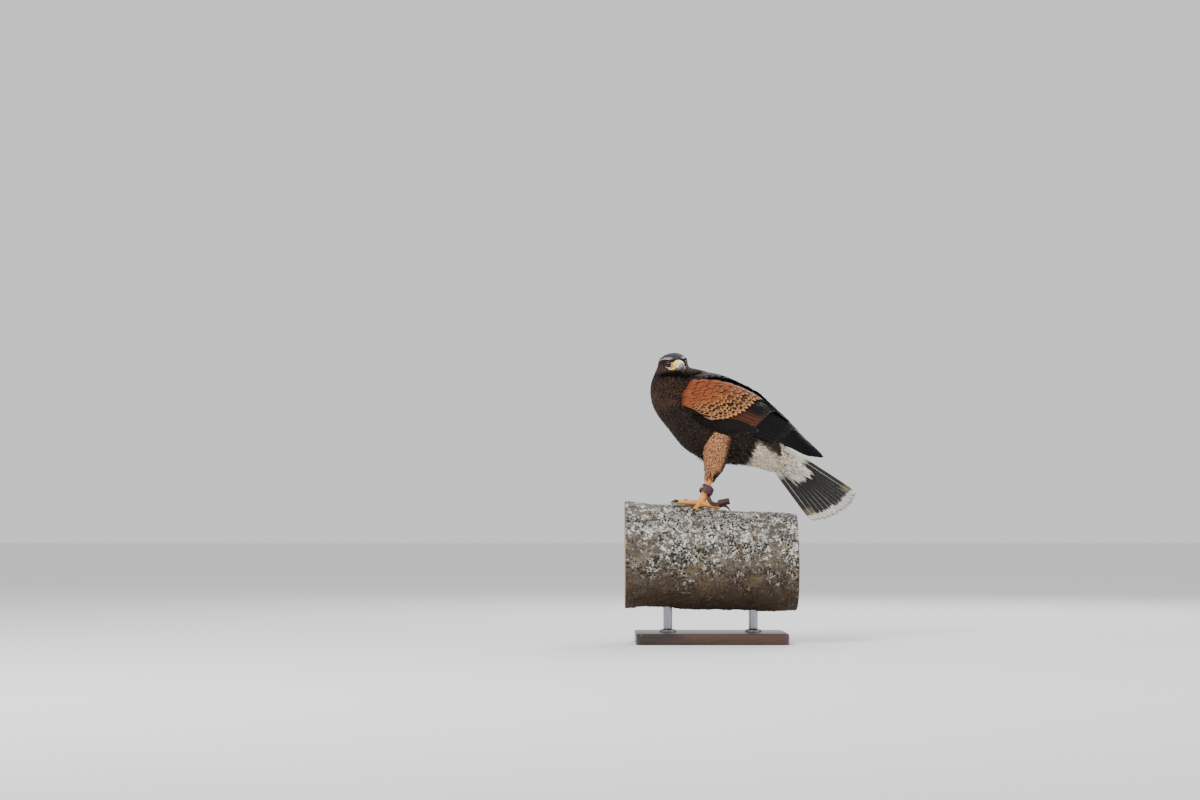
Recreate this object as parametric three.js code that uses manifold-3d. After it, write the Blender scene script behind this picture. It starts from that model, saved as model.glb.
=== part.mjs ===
// A harris hawk, life size, standing on a cut length of thick tree limb that a plain display
// stand holds up. Millimetres, +Z up. The limb lies along X. The hawk is built in a frame of its
// own, with x forward, y to its left, z up and the origin on top of the limb between its feet,
// and that frame is then turned on the limb.
import * as THREE from 'three';
import { mergeVertices } from 'three/addons/utils/BufferGeometryUtils.js';
import Module from 'manifold-3d';

const wasm = await Module();
wasm.setup();

const GAP = 0.3; // left between pieces that touch

// Stand
const BASE = { length: 300, width: 210, height: 22, corner: 14 };
const ROD = { radius: 9, apart: 170 };

// Limb
const LIMB = { length: 340, radius: 101, taper: 0.026, axisHeight: 168.5, drop: 0.052, lump: 1.6 };

// Where the hawk stands on the limb, and how far it is turned towards the viewer
const STAND_X = -20;
const BODY_YAW = 25 * Math.PI / 180;

// Torso sections, each an upright ellipse across the body: x, bottom, top, half width
const TORSO = [
  [103, 231, 237, 2], [99, 206, 254, 24], [87, 180, 267, 41], [60, 149, 276, 54], [25, 112, 277, 61],
  [-15, 95, 270, 65], [-60, 91, 257, 62], [-105, 88, 232, 53], [-140, 79, 200, 42], [-166, 73, 166, 31],
  [-181, 77, 136, 20], [-190, 88, 118, 11], [-193, 97, 108, 4],
];
const TORSO_STATIONS = [
  103, 101.6, 98.5, 93, 84, 71, 55, 38, 18, -6, -32, -60, -88, -114, -136, -155, -170, -182, -189, -193,
];
// Neck sections, each a tilted circle: centre x, y, z and radius
const NECK = [
  [42, 0, 168, 26], [52, 0, 200, 43], [58, 1, 232, 43.5], [60, 0, 248, 41.5], [60, -1, 261, 37.5],
  [60, -4, 272, 32], [60, -7, 282, 23], [60, -8, 288, 9],
];
const NECK_TOP_CUT = { x: 60, z: 261, tilt: 0.12 };
const NECK_FOOT_CUT = { x: 52, z: 234, tilt: 0.62 };

// Head, in its own frame: x towards the bill, y left, z up. Sections: x, half width, up, down
const HEAD = { x: 61, y: 4.6, z: 283.3, yaw: 82, pitch: -7, roll: 5 };
const HEAD_SECTIONS = [
  [-30, 7, 7, 8], [-27, 17, 13, 16], [-18, 26.5, 19, 22], [-7, 30, 21.6, 24], [4, 27.6, 22.6, 25],
  [12, 22, 21.8, 23], [19, 17, 18.8, 19.6], [25, 12.6, 14, 15], [29, 9.4, 9, 11],
];
const EYE = { x: 14.6, y: 13.7, z: 1.2, radius: 8.2, forward: 40 };
const BILL = { base: 26, cere: 13.5, reach: 28, width: 8.6, up: 9.6, hook: 11 };

// Wing guide, upright ellipses across the body: x, centre height, half width, half height
const WING_GUIDE = [
  [72, 206, 55, 44], [45, 203, 65, 64], [0, 190, 73, 82], [-50, 176, 72, 86], [-110, 160, 62, 76],
  [-180, 137, 45, 54], [-235, 112, 33, 35], [-285, 92, 24, 24],
];
const VANE_THICKNESS = 0.7;

// Tail
const TAIL = { x: -152, z: 126, slope: 38, roll: -35, length: 223, spread: 22, root: 17, count: 12, width: 21 };

// Legs: hock and foot places, then thigh radii
const LEGS = {
  left: { side: 1, hock: [-13, 36, 80], foot: [14, 30], hip: [-24, 38, 158] },
  right: { side: -1, hock: [-48, -36, 84], foot: [-18, -30], hip: [-62, -38, 158] },
};
const TARSUS_RADIUS = 7.4;
const FOOT_TURN = -25 * Math.PI / 180;

const degrees = (a) => a * Math.PI / 180;
const vec = (x, y, z) => new THREE.Vector3(x, y, z);
const lerp = THREE.MathUtils.lerp;
const clamp = THREE.MathUtils.clamp;

// A seeded random draw, so that the model is the same each time
let seed = 7;
function draw() {
  seed = (seed * 16807) % 2147483647;
  return seed / 2147483647;
}

// Reads a table of rows at a place along its first column, smoothly
function readTable(rows, at) {
  const descending = rows[0][0] > rows[rows.length - 1][0];
  const key = (i) => (descending ? -rows[i][0] : rows[i][0]);
  const want = clamp(descending ? -at : at, key(0), key(rows.length - 1));
  let i = 0;
  while (i < rows.length - 2 && want > key(i + 1)) i += 1;
  const span = key(i + 1) - key(i);
  const t = (want - key(i)) / span;
  return rows[0].slice(1).map((_, c) => {
    const value = (k) => rows[clamp(k, 0, rows.length - 1)][c + 1];
    const place = (k) => key(clamp(k, 0, rows.length - 1));
    const slope = (k) => (value(k + 1) - value(k - 1)) / Math.max(place(k + 1) - place(k - 1), 1e-6);
    const m0 = slope(i) * span;
    const m1 = slope(i + 1) * span;
    const t2 = t * t;
    const t3 = t2 * t;
    return (2 * t3 - 3 * t2 + 1) * value(i) + (t3 - 2 * t2 + t) * m0
      + (3 * t2 - 2 * t3) * value(i + 1) + (t3 - t2) * m1;
  });
}

// Geometry and solids

function geometryFrom(points, triangles) {
  const geometry = new THREE.BufferGeometry();
  const flat = new Float32Array(points.flatMap((p) => [p.x, p.y, p.z]));
  geometry.setAttribute('position', new THREE.BufferAttribute(flat, 3));
  geometry.setIndex(triangles.flat());
  return geometry;
}

// A closed surface through rings of points, with a point at each end
function loft(rings) {
  const points = rings.flat();
  const n = rings[0].length;
  const triangles = [];
  for (let i = 0; i < rings.length - 1; i += 1) {
    for (let j = 0; j < n; j += 1) {
      const a = i * n + j;
      const b = i * n + (j + 1) % n;
      triangles.push([a, b, b + n], [a, b + n, a + n]);
    }
  }
  [0, rings.length - 1].forEach((i) => {
    const middle = points.length;
    points.push(rings[i].reduce((s, p) => s.add(p), vec(0, 0, 0)).divideScalar(n));
    for (let j = 0; j < n; j += 1) {
      const a = i * n + j;
      const b = i * n + (j + 1) % n;
      triangles.push(i === 0 ? [middle, b, a] : [middle, a, b]);
    }
  });
  return geometryFrom(points, triangles);
}

// A thin closed plate with a grid of upper points and a grid of lower points, split alike on both faces
function plate(upper, lower) {
  const rows = upper.length;
  const columns = upper[0].length;
  const points = [...upper.flat(), ...lower.flat()];
  const below = rows * columns;
  const triangles = [];
  for (let i = 0; i < rows - 1; i += 1) {
    for (let j = 0; j < columns - 1; j += 1) {
      const a = i * columns + j;
      const [b, c, d] = [a + 1, a + columns + 1, a + columns];
      triangles.push([a, b, c], [a, c, d]);
      triangles.push([below + a, below + c, below + b], [below + a, below + d, below + c]);
    }
  }
  const rim = [];
  for (let j = 0; j < columns - 1; j += 1) rim.push(j);
  for (let i = 0; i < rows - 1; i += 1) rim.push(i * columns + columns - 1);
  for (let j = columns - 1; j > 0; j -= 1) rim.push((rows - 1) * columns + j);
  for (let i = rows - 1; i > 0; i -= 1) rim.push(i * columns);
  rim.forEach((a, k) => {
    const b = rim[(k + 1) % rim.length];
    triangles.push([a, below + a, below + b], [a, below + b, b]);
  });
  return geometryFrom(points, triangles);
}

function solid(geometry) {
  const bare = geometry.clone();
  bare.deleteAttribute('normal');
  bare.deleteAttribute('uv');
  const merged = mergeVertices(bare, 1e-3);
  const corners = new Uint32Array(merged.index.array);
  const make = () => new wasm.Manifold(new wasm.Mesh({
    numProp: 3, vertProperties: merged.attributes.position.array, triVerts: corners,
  }));
  const made = make();
  if (made.volume() >= 0) return made;
  for (let i = 0; i < corners.length; i += 3) {
    [corners[i + 1], corners[i + 2]] = [corners[i + 2], corners[i + 1]];
  }
  return make();
}

const joined = (solids) => solids.reduce((a, b) => a.add(b));

// The largest closed surface of a solid, as a mesh
function meshOf(name, made, colour, roughness = 0.8, metalness = 0) {
  const largest = made.simplify(0.04).decompose().sort((a, b) => b.volume() - a.volume())[0];
  const data = largest.getMesh();
  const geometry = new THREE.BufferGeometry();
  geometry.setAttribute('position', new THREE.BufferAttribute(new Float32Array(data.vertProperties), 3));
  geometry.setIndex(new THREE.BufferAttribute(new Uint32Array(data.triVerts), 1));
  geometry.computeVertexNormals();
  const mesh = new THREE.Mesh(geometry, new THREE.MeshStandardMaterial({ color: colour, roughness, metalness }));
  mesh.name = name;
  return mesh;
}

// A big block that fills the side of a plane that its normal points to
function halfSpace(point, normal, from) {
  const size = 900;
  const block = new THREE.BoxGeometry(size, size, size);
  block.translate(0, 0, size / 2 + from);
  const turn = new THREE.Quaternion().setFromUnitVectors(vec(0, 0, 1), normal.clone().normalize());
  block.applyQuaternion(turn);
  block.translate(point.x, point.y, point.z);
  return solid(block);
}

function ball(centre, radii, across = 14, down = 9) {
  const sphere = new THREE.SphereGeometry(1, across, down);
  sphere.scale(radii.x, radii.y, radii.z);
  sphere.translate(centre.x, centre.y, centre.z);
  return sphere;
}

// A tube of rings along points, with a radius at each, and an optional flattening
function tube(points, radii, sides, flat = 1, upHint = vec(0, 0, 1)) {
  return loft(points.map((p, i) => {
    const before = points[Math.max(i - 1, 0)];
    const after = points[Math.min(i + 1, points.length - 1)];
    const along = after.clone().sub(before).normalize();
    const side = along.clone().cross(upHint).normalize();
    const up = side.clone().cross(along).normalize();
    return Array.from({ length: sides }, (_, k) => {
      const a = 2 * Math.PI * k / sides;
      return p.clone().addScaledVector(side, Math.cos(a) * radii[i])
        .addScaledVector(up, Math.sin(a) * radii[i] * flat);
    });
  }));
}

// Limb

// The limb is a little flat on top, where the hawk stands
function flatTop(a) {
  const off = Math.abs(Math.atan2(Math.sin(a - Math.PI / 2), Math.cos(a - Math.PI / 2))) / degrees(22);
  if (off < 1) return 0.058 * off * off;
  return off < 2.6 ? 0.058 * Math.cos((off - 1) / 1.6 * Math.PI / 2) ** 2 : 0;
}
const limbRadius = (x, a) => (LIMB.radius - LIMB.taper * (x - STAND_X)) * (1 + flatTop(a))
  + LIMB.lump * Math.sin(0.041 * x + 2 * a) + LIMB.lump * 0.7 * Math.sin(3 * a - 0.026 * x + 1);
const limbAxis = (x) => LIMB.axisHeight - LIMB.drop * (x - STAND_X);

function limbPoint(x, a, grow = 0) {
  const r = limbRadius(x, a) + grow;
  return vec(x, r * Math.cos(a), limbAxis(x) + r * Math.sin(a));
}

function limbGeometry(grow = 0) {
  const rings = [];
  const steps = 12;
  const sides = 24;
  for (let i = 0; i <= steps; i += 1) {
    const x = (i / steps - 0.5) * (LIMB.length + 2 * grow);
    rings.push(Array.from({ length: sides }, (_, j) => limbPoint(x, 2 * Math.PI * j / sides, grow)));
  }
  return loft(rings);
}

// Height of the limb's top at a place seen from above
function limbTop(x, y) {
  let a = Math.PI / 2;
  for (let i = 0; i < 4; i += 1) a = Math.acos(clamp(y / limbRadius(x, a), -0.99, 0.99));
  return limbPoint(x, a).z;
}

// The hawk's frame on the limb

const hawk = new THREE.Group();
hawk.position.set(STAND_X, 0, limbTop(STAND_X, 0));
hawk.rotation.z = Math.PI + BODY_YAW;
hawk.updateMatrixWorld(true);
const toHawk = hawk.matrixWorld.clone().invert();

// The limb's top under a place in the hawk's frame
function groundAt(x, y) {
  const p = vec(x, y, 0).applyMatrix4(hawk.matrixWorld);
  return limbTop(p.x, p.y) - hawk.position.z;
}

// Body: torso, neck and head modelled whole, then parted by thin cuts

function torsoGeometry(grow = 0) {
  const sides = 20;
  const lastRing = TORSO_STATIONS.length - 1;
  return loft(TORSO_STATIONS.map((x, i) => {
    const [bottom, top, width] = readTable(TORSO, x);
    const place = x + (i === 0 ? grow : 0) - (i === lastRing ? grow : 0);
    const [middle, tall] = [(bottom + top) / 2, (top - bottom) / 2 + grow];
    return Array.from({ length: sides }, (_, j) => {
      const a = 2 * Math.PI * j / sides;
      return vec(place, (width + grow) * Math.cos(a), middle + tall * Math.sin(a));
    });
  }));
}

function neckGeometry(grow = 0) {
  const centres = NECK.map(([x, y, z]) => vec(x, y, z));
  return tube(centres, NECK.map((row) => row[3] + grow), 20, 1, vec(1, 0, 0));
}

const headTurn = new THREE.Matrix4().makeRotationFromEuler(
  new THREE.Euler(degrees(HEAD.roll), degrees(-HEAD.pitch), degrees(HEAD.yaw), 'ZYX'),
).setPosition(HEAD.x, HEAD.y, HEAD.z);

// The head's surface, from its back to the face
function headGeometry() {
  const sides = 18;
  const count = 10;
  const rings = [];
  for (let i = 0; i < count; i += 1) {
    const x = lerp(HEAD_SECTIONS[0][0], HEAD_SECTIONS[HEAD_SECTIONS.length - 1][0], i / (count - 1));
    const [wide, up, low] = readTable(HEAD_SECTIONS, x);
    rings.push(Array.from({ length: sides }, (_, j) => {
      const a = 2 * Math.PI * j / sides;
      const [c, k] = [Math.cos(a), Math.sin(a)];
      return vec(x, wide * Math.sign(c) * Math.abs(c) ** 0.92, (k > 0 ? up : low) * k);
    }));
  }
  return loft(rings);
}

// A brow ridge over each eye, running forward and down to the bill
function browGeometry(side) {
  const path = [[-4, 25.6, 7], [5, 24, 10], [13, 18.6, 10.8], [20, 13.2, 9.4], [27, 8.6, 6.6]];
  return tube(path.map(([x, y, z]) => vec(x, side * y, z)), [1.4, 2.7, 3.2, 2.8, 1.6], 6);
}

// Where an eye looks, level with the ground
const gaze = (side) => vec(Math.sin(degrees(EYE.forward)), side * Math.cos(degrees(EYE.forward)), 0);

// Lids, a ring round each eye
function lidGeometry(side) {
  const ring = new THREE.TorusGeometry(EYE.radius * 0.84, 1.25, 6, 12);
  ring.applyQuaternion(new THREE.Quaternion().setFromUnitVectors(vec(0, 0, 1), gaze(side)));
  const at = eyeCentre(side).addScaledVector(gaze(side), EYE.radius * 0.56);
  ring.translate(at.x, at.y, at.z);
  return ring;
}

const eyeCentre = (side) => vec(EYE.x, side * EYE.y, EYE.z);
const sphereRadii = (r) => vec(r, r, r);

// Bill and cere: upright sections from the face out to the hooked tip
function billSection(x, z, halfWidth, up, low) {
  return Array.from({ length: 10 }, (_, k) => {
    const a = 2 * Math.PI * k / 10;
    const s = Math.sin(a);
    return vec(x, halfWidth * Math.cos(a) * (s > 0 ? 0.95 : 1), z + (s > 0 ? up : low) * s);
  });
}
const CERE_END = BILL.base + BILL.cere;
const cereGeometry = (grow = 0, past = 0) => loft([
  billSection(BILL.base - 6 - grow, 0.6, 9.4 + grow, 9.6 + grow, 6.6 + grow),
  billSection(BILL.base + 1, 0.2, 9.2 + grow, 9 + grow, 6.2 + grow),
  billSection(CERE_END + past, -0.6, BILL.width * 0.95 + grow, BILL.up * 0.9 + grow, 5.6 + grow),
]);
function upperBillGeometry() {
  const start = CERE_END + GAP;
  const reach = BILL.base + BILL.reach - start;
  const steps = 7;
  const rings = [];
  for (let i = 0; i <= steps; i += 1) {
    const t = i / steps;
    const thin = 1 - 0.9 * t ** 1.7;
    const x = start + reach * Math.sin(t * Math.PI / 2);
    rings.push(billSection(x, -0.7 - BILL.hook * 1.25 * t ** 2.1, BILL.width * 0.93 * thin + 0.15,
      BILL.up * 0.88 * thin, 5.4 * thin + 0.2));
  }
  return loft(rings);
}
const lowerBillGeometry = (grow = 0) => loft([0, 1, 2, 3, 4].map((i) => {
  const t = i / 4;
  const thin = 1 - 0.5 * t * t;
  return billSection(BILL.base - 8 - grow + t * (22 + 2 * grow), -8.6 - 0.6 * t, BILL.width * 0.96 * thin + grow,
    1.8 * thin + grow, 4 * thin + grow);
}));

// The yellow rim of the mouth, from the cere back to under each eye
function gapeGeometry(side, grow = 0) {
  const path = [[31, 6.6, -4.6], [25, 10.2, -7], [18, 15.4, -8.6], [12, 19.4, -9.4], [8, 22, -9.8]];
  const radii = [1.5, 2.3, 2.2, 1.9, 1.1];
  return tube(path.map(([x, y, z]) => vec(x, side * y, z)), radii.map((r) => r + grow), 6);
}

const headPieces = {
  cere: joined([solid(cereGeometry()), solid(gapeGeometry(1)), solid(gapeGeometry(-1))]),
  bill_upper: solid(upperBillGeometry()),
  bill_lower: solid(lowerBillGeometry()),
};
function nostril(side) {
  return solid(ball(vec(BILL.base + 6.5, side * 8.4, 2.6), vec(2, 2.2, 1.5), 8, 6));
}
headPieces.cere = headPieces.cere.subtract(nostril(1)).subtract(nostril(-1));
const grownCere = solid(cereGeometry(GAP, 8));

const placedInHawk = (geometry) => solid(geometry.clone().applyMatrix4(headTurn));
const headMatrix = headTurn.elements;
const placeSolid = (made) => made.transform(Array.from(headMatrix));

const headCore = joined([
  solid(headGeometry()), solid(browGeometry(1)), solid(browGeometry(-1)),
  solid(lidGeometry(1)), solid(lidGeometry(-1)),
]);
const grownLower = solid(lowerBillGeometry(GAP));
const sockets = joined([1, -1].map((side) => solid(ball(eyeCentre(side), sphereRadii(EYE.radius + GAP), 14, 10))));
const grownGape = solid(gapeGeometry(1, GAP)).add(solid(gapeGeometry(-1, GAP)));
headPieces.bill_lower = headPieces.bill_lower.subtract(grownCere).subtract(grownGape);
headPieces.bill_upper = headPieces.bill_upper.subtract(grownGape);
const headCuts = joined([grownCere, grownLower, grownGape, sockets]);

const neckTopPlane = [vec(NECK_TOP_CUT.x, 0, NECK_TOP_CUT.z), vec(NECK_TOP_CUT.tilt, 0, 1).normalize()];
const neckFootPlane = [vec(NECK_FOOT_CUT.x, 0, NECK_FOOT_CUT.z), vec(NECK_FOOT_CUT.tilt, 0, 1).normalize()];
const torsoSolid = solid(torsoGeometry());
const neckSolid = solid(neckGeometry());
const grownTorso = solid(torsoGeometry(GAP));
const grownBody = grownTorso.add(solid(neckGeometry(GAP)));
const down = (plane) => plane[1].clone().negate();

const aboveNeckTop = halfSpace(neckTopPlane[0], neckTopPlane[1], GAP / 2);
const belowNeckTop = halfSpace(neckTopPlane[0], down(neckTopPlane), GAP / 2);
const aboveNeckFoot = halfSpace(neckFootPlane[0], neckFootPlane[1], GAP / 2);
const belowNeckFoot = halfSpace(neckFootPlane[0], down(neckFootPlane), GAP / 2);

const head = neckSolid.add(placeSolid(headCore)).intersect(aboveNeckTop).subtract(placeSolid(headCuts));
const neckWhole = torsoSolid.add(neckSolid);
const neck = neckWhole.intersect(aboveNeckFoot).intersect(belowNeckTop);
const torso = neckWhole.intersect(belowNeckFoot);

hawk.add(meshOf('torso', torso, 0x2a211d));
hawk.add(meshOf('neck', neck, 0x2a211d));
hawk.add(meshOf('head', head, 0x33281f));
hawk.add(meshOf('cere', placeSolid(headPieces.cere.subtract(sockets)), 0xd8b53a, 0.5));
hawk.add(meshOf('bill_upper', placeSolid(headPieces.bill_upper), 0x3a3a40, 0.4));
hawk.add(meshOf('bill_lower', placeSolid(headPieces.bill_lower), 0x4a4640, 0.4));
[['left', 1], ['right', -1]].forEach(([name, side]) => {
  const eye = placedInHawk(ball(eyeCentre(side), sphereRadii(EYE.radius), 14, 10));
  hawk.add(meshOf('eye_' + name, eye, 0x2b1608, 0.1));
});

// Wings

function wingPoint(x, angle, height) {
  const [centre, wide, tall] = readTable(WING_GUIDE, x);
  return vec(x, (wide + height) * Math.cos(angle), centre + (tall + height) * Math.sin(angle));
}

// A point carried on to the wing's guide, at a height over it
function ontoWing(p, height) {
  const [centre, wide, tall] = readTable(WING_GUIDE, p.x);
  return wingPoint(p.x, Math.atan2((p.z - centre) / tall, p.y / wide), height);
}

const coreTop = (x) => lerp(-0.5, -6.5, clamp((60 - x) / 215, 0, 1));

// A feather's half width along its length, from 0 at the root to 1 at the tip
const vaneShape = (t, blunt) => Math.min(1, 0.45 + 2.2 * t) * (1 - Math.max(0, (t - (1 - blunt)) / blunt) ** 2.2 * 0.8);

// One feather of the wing, wrapped on the guide: root and tip are [x, angle], with heights at both
function wingVane({ root, tip, lift, half, blunt = 0.3, rows = 4, slope = -0.12, bow = 0 }) {
  const upper = [];
  const lower = [];
  const along = (t) => wingPoint(lerp(root[0], tip[0], t), lerp(root[1], tip[1], t) + bow * Math.sin(Math.PI * t), 0);
  for (let i = 0; i < rows; i += 1) {
    const t = (i / (rows - 1)) ** 0.8;
    const here = along(t);
    const ahead = along(t + 0.02).sub(here).normalize();
    const angle = lerp(root[1], tip[1], t) + bow * Math.sin(Math.PI * t);
    const out = wingPoint(here.x, angle, 1).sub(here).normalize();
    const across = out.clone().cross(ahead).normalize();
    const width = half * vaneShape(t, blunt);
    const height = lerp(lift[0], lift[1], Math.min(1, t * 1.4));
    const edges = [-width, width].map((w) => [here.clone().addScaledVector(across, w), height + slope * w]);
    upper.push(edges.map(([p, h]) => ontoWing(p, h)));
    lower.push(edges.map(([p, h]) => ontoWing(p, h - VANE_THICKNESS)));
  }
  return solid(plate(upper, lower));
}

// A tier of feathers, with places for root and tip given from the lowest feather to the highest
function wingTier({ count, roots, tips, lift, wander = 3, ...rest }) {
  const place = (rows, t) => [lerp(rows[0][0], rows[1][0], t), degrees(lerp(rows[0][1], rows[1][1], t))];
  return Array.from({ length: count }, (_, k) => {
    const t = k / (count - 1);
    const tip = typeof tips === 'function' ? tips(t, k) : place(tips, t);
    const heights = typeof lift === 'function' ? lift(t, k) : lift;
    return wingVane({ root: place(roots, t), tip: [tip[0] + (draw() - 0.5) * wander, tip[1]], lift: heights, ...rest });
  });
}

function wingCore() {
  const rings = [];
  const xs = [69, 63, 45, 15, -25, -70, -112, -146];
  xs.forEach((x, i) => {
    const end = i === 0 || i === xs.length - 1 ? 0.35 : 1;
    const low = degrees(lerp(-24, -12, clamp((60 - x) / 210, 0, 1)));
    const high = degrees(readTable([[70, 18], [45, 42], [0, 62], [-60, 74], [-150, 72]], x)[0]);
    const middle = (low + high) / 2;
    const thick = lerp(16, 5, clamp((60 - x) / 210, 0, 1)) * end;
    const ring = [];
    const around = 6;
    for (let j = 0; j <= around; j += 1) {
      const a = middle + (high - low) * end * (j / around - 0.5);
      const edge = 1 - Math.abs(2 * j / around - 1) ** 4;
      ring.push(wingPoint(x, a, coreTop(x) - thick * 0.5 * (1 - edge)));
    }
    for (let j = around; j >= 0; j -= 2) {
      const a = middle + (high - low) * end * (j / around - 0.5);
      ring.push(wingPoint(x, a, coreTop(x) - thick));
    }
    rings.push(ring);
  });
  return solid(loft(rings));
}

function wingShape() {
  const pieces = [wingCore()];
  const sunk = (x) => coreTop(x) - 1.6;
  // Primaries, the longest near the wing's lower edge, stacked as flat leaves
  pieces.push(...wingTier({
    count: 6, roots: [[-134, -6], [-138, 50]], half: 8.5, blunt: 0.45, rows: 4, slope: 0, wander: 0,
    tips: (t, k) => [k < 2 ? -269 + 17 * (1 - k) : -278 + 15 * (k - 2), degrees(lerp(-4, 58, t))],
    lift: (t, k) => [-11.5 + 1.05 * k, -9.8 + 1.05 * k],
  }));
  // Secondaries
  pieces.push(...wingTier({
    count: 6, roots: [[-86, -10], [-124, 52]], half: 11.5, blunt: 0.3, rows: 4,
    tips: (t) => [lerp(-152, -207, t ** 0.7), degrees(lerp(-12, 50, t))],
    lift: (t) => [sunk(lerp(-82, -124, t)), -4 + 2.6 * t],
  }));
  // Tertials
  pieces.push(...wingTier({
    count: 3, roots: [[-96, 56], [-88, 76]], tips: [[-190, 60], [-160, 80]], half: 12, blunt: 0.4, rows: 3,
    lift: [sunk(-90), 0.2],
  }));
  // Alula and primary coverts, at the lower front
  pieces.push(...wingTier({
    count: 2, roots: [[40, -20], [10, -10]], tips: [[-60, -22], [-92, -11]], half: 10, blunt: 0.4, rows: 3,
    lift: [sunk(40), 0.6],
  }));
  // Greater coverts
  pieces.push(...wingTier({
    count: 7, roots: [[0, -2], [-98, 56]], tips: [[-94, -4], [-156, 52]], half: 10.5, blunt: 0.35, rows: 3,
    lift: (t) => [sunk(lerp(8, -98, t)), -1.4],
  }));
  // Median coverts
  pieces.push(...wingTier({
    count: 7, roots: [[36, -8], [-60, 60]], tips: [[-2, -8], [-120, 54]], half: 10.5, blunt: 0.5, rows: 3,
    lift: (t) => [sunk(lerp(36, -60, t)), 0.8],
  }));
  // Lesser coverts in two rows
  pieces.push(...wingTier({
    count: 5, roots: [[52, -2], [-18, 62]], tips: [[20, -4], [-76, 58]], half: 12, blunt: 0.5, rows: 3,
    lift: (t) => [sunk(lerp(52, -18, t)), 2],
  }));
  pieces.push(...wingTier({
    count: 4, roots: [[62, 6], [20, 56]], tips: [[42, 4], [-34, 58]], half: 12, blunt: 0.5, rows: 3,
    lift: (t) => [sunk(lerp(62, 20, t)), 2.6],
  }));
  // Scapulars along the back
  pieces.push(...wingTier({
    count: 4, roots: [[10, 70], [-84, 80]], tips: [[-50, 72], [-150, 80]], half: 13, blunt: 0.4, slope: -0.03,
    rows: 3, lift: (t) => [sunk(lerp(10, -84, t)) - 1, 2],
  }));
  return joined(pieces);
}

const mirrored = (made) => made.transform([1, 0, 0, 0, 0, -1, 0, 0, 0, 0, 1, 0, 0, 0, 0, 1]);
const wing = wingShape();
const grownThighs = joined(Object.values(LEGS).map((leg) => solid(thighGeometry(leg, GAP))));
const wingCuts = grownBody.add(grownThighs);
const leftSide = halfSpace(vec(0, 0, 0), vec(0, 1, 0), 0.5);
hawk.add(meshOf('wing_left', wing.subtract(wingCuts).intersect(leftSide), 0x8a4526));
// The far wing is held a little higher behind
const raised = mirrored(wing).translate([-60, 0, -200]).rotate([0, 2.5, 0]).translate([60, 0, 200]);
hawk.add(meshOf('wing_right', raised.subtract(wingCuts).intersect(mirrored(leftSide)), 0x8a4526));

// Tail, built along its own x with its upper side towards z, and then sloped, rolled and placed

const tailTurn = new THREE.Matrix4()
  .makeTranslation(TAIL.x, 0, TAIL.z)
  .multiply(new THREE.Matrix4().makeRotationY(Math.PI - degrees(TAIL.slope)))
  .multiply(new THREE.Matrix4().makeRotationX(Math.PI + degrees(TAIL.roll)));

function tailVane(k) {
  const t = k / (TAIL.count - 1) * 2 - 1;
  const angle = degrees(TAIL.spread / 2) * t;
  const length = TAIL.length * (1 - 0.055 * t * t);
  const half = TAIL.width / 2;
  const level = 4.2 * (1 - Math.abs(t)) + 0.35 * (t > 0 ? 1 : 0);
  const rows = 5;
  const columns = 3;
  const upper = [];
  const lower = [];
  for (let i = 0; i < rows; i += 1) {
    const s = i / (rows - 1);
    const x = 10 + (length - 10) * s;
    const width = half * Math.min(1, 0.3 + 1.6 * s) * (i === rows - 1 ? 0.62 : 1);
    const tops = [];
    const bottoms = [];
    for (let j = 0; j < columns; j += 1) {
      const side = j - 1;
      const y = x * Math.sin(angle) + side * width * Math.cos(angle) + t * TAIL.root;
      const inward = side * Math.sign(t) * -0.35;
      const z = level * Math.min(1, s * 2 + 0.2) + inward * Math.min(1, s * 2) - 0.00085 * y * y;
      const along = x * Math.cos(angle) - side * width * Math.sin(angle) - (i === rows - 1 ? Math.abs(side) * 6 : 0);
      tops.push(vec(along, y, z + VANE_THICKNESS / 2 + (j === 1 ? 0.3 : 0)));
      bottoms.push(vec(along, y, z - VANE_THICKNESS / 2 - (j === 1 ? 0.3 : 0)));
    }
    upper.push(tops);
    lower.push(bottoms);
  }
  return solid(plate(upper, lower));
}

// Coverts over and under the tail's root: how many, length, half width, and heights at root, tip and middle
const TAIL_COVERTS = [
  { count: 5, length: 78, half: 9, root: 8.5, tip: 7, bulge: 1.5, wide: 16 },
  { count: 7, length: 116, half: 9.5, root: -7, tip: -5.5, bulge: -5, wide: 17 },
  { count: 6, length: 84, half: 10, root: -11, tip: -12, bulge: -5, wide: 15 },
];

// One covert, where t runs from -1 at the tail's one edge to 1 at the other
function tailCovert(set, t) {
  const rows = 4;
  const upper = [];
  const lower = [];
  for (let i = 0; i < rows; i += 1) {
    const s = i / (rows - 1);
    const width = set.half * Math.min(1, 0.6 + s) * (i === rows - 1 ? 0.4 : 1);
    const x = 4 + set.length * (1 - 0.14 * t * t) * s;
    const y = t * (11 + set.wide * s);
    const z = (lerp(set.root, set.tip, s) + set.bulge * 4 * s * (1 - s)) * (1 - 0.3 * t * t);
    upper.push([-1, 1].map((e) => vec(x, y + e * width, z + 0.6)));
    lower.push([-1, 1].map((e) => vec(x, y + e * width, z - 0.6)));
  }
  return solid(plate(upper, lower));
}

// The fleshy root of the tail: distance along it, half width, and heights above and below
const TAIL_ROOT = [[-12, 20, 17, 17], [6, 20, 15, 17], [30, 19, 11, 16], [55, 17, 7, 13], [75, 13, 4, 8], [88, 8, 2, 3]];

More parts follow.
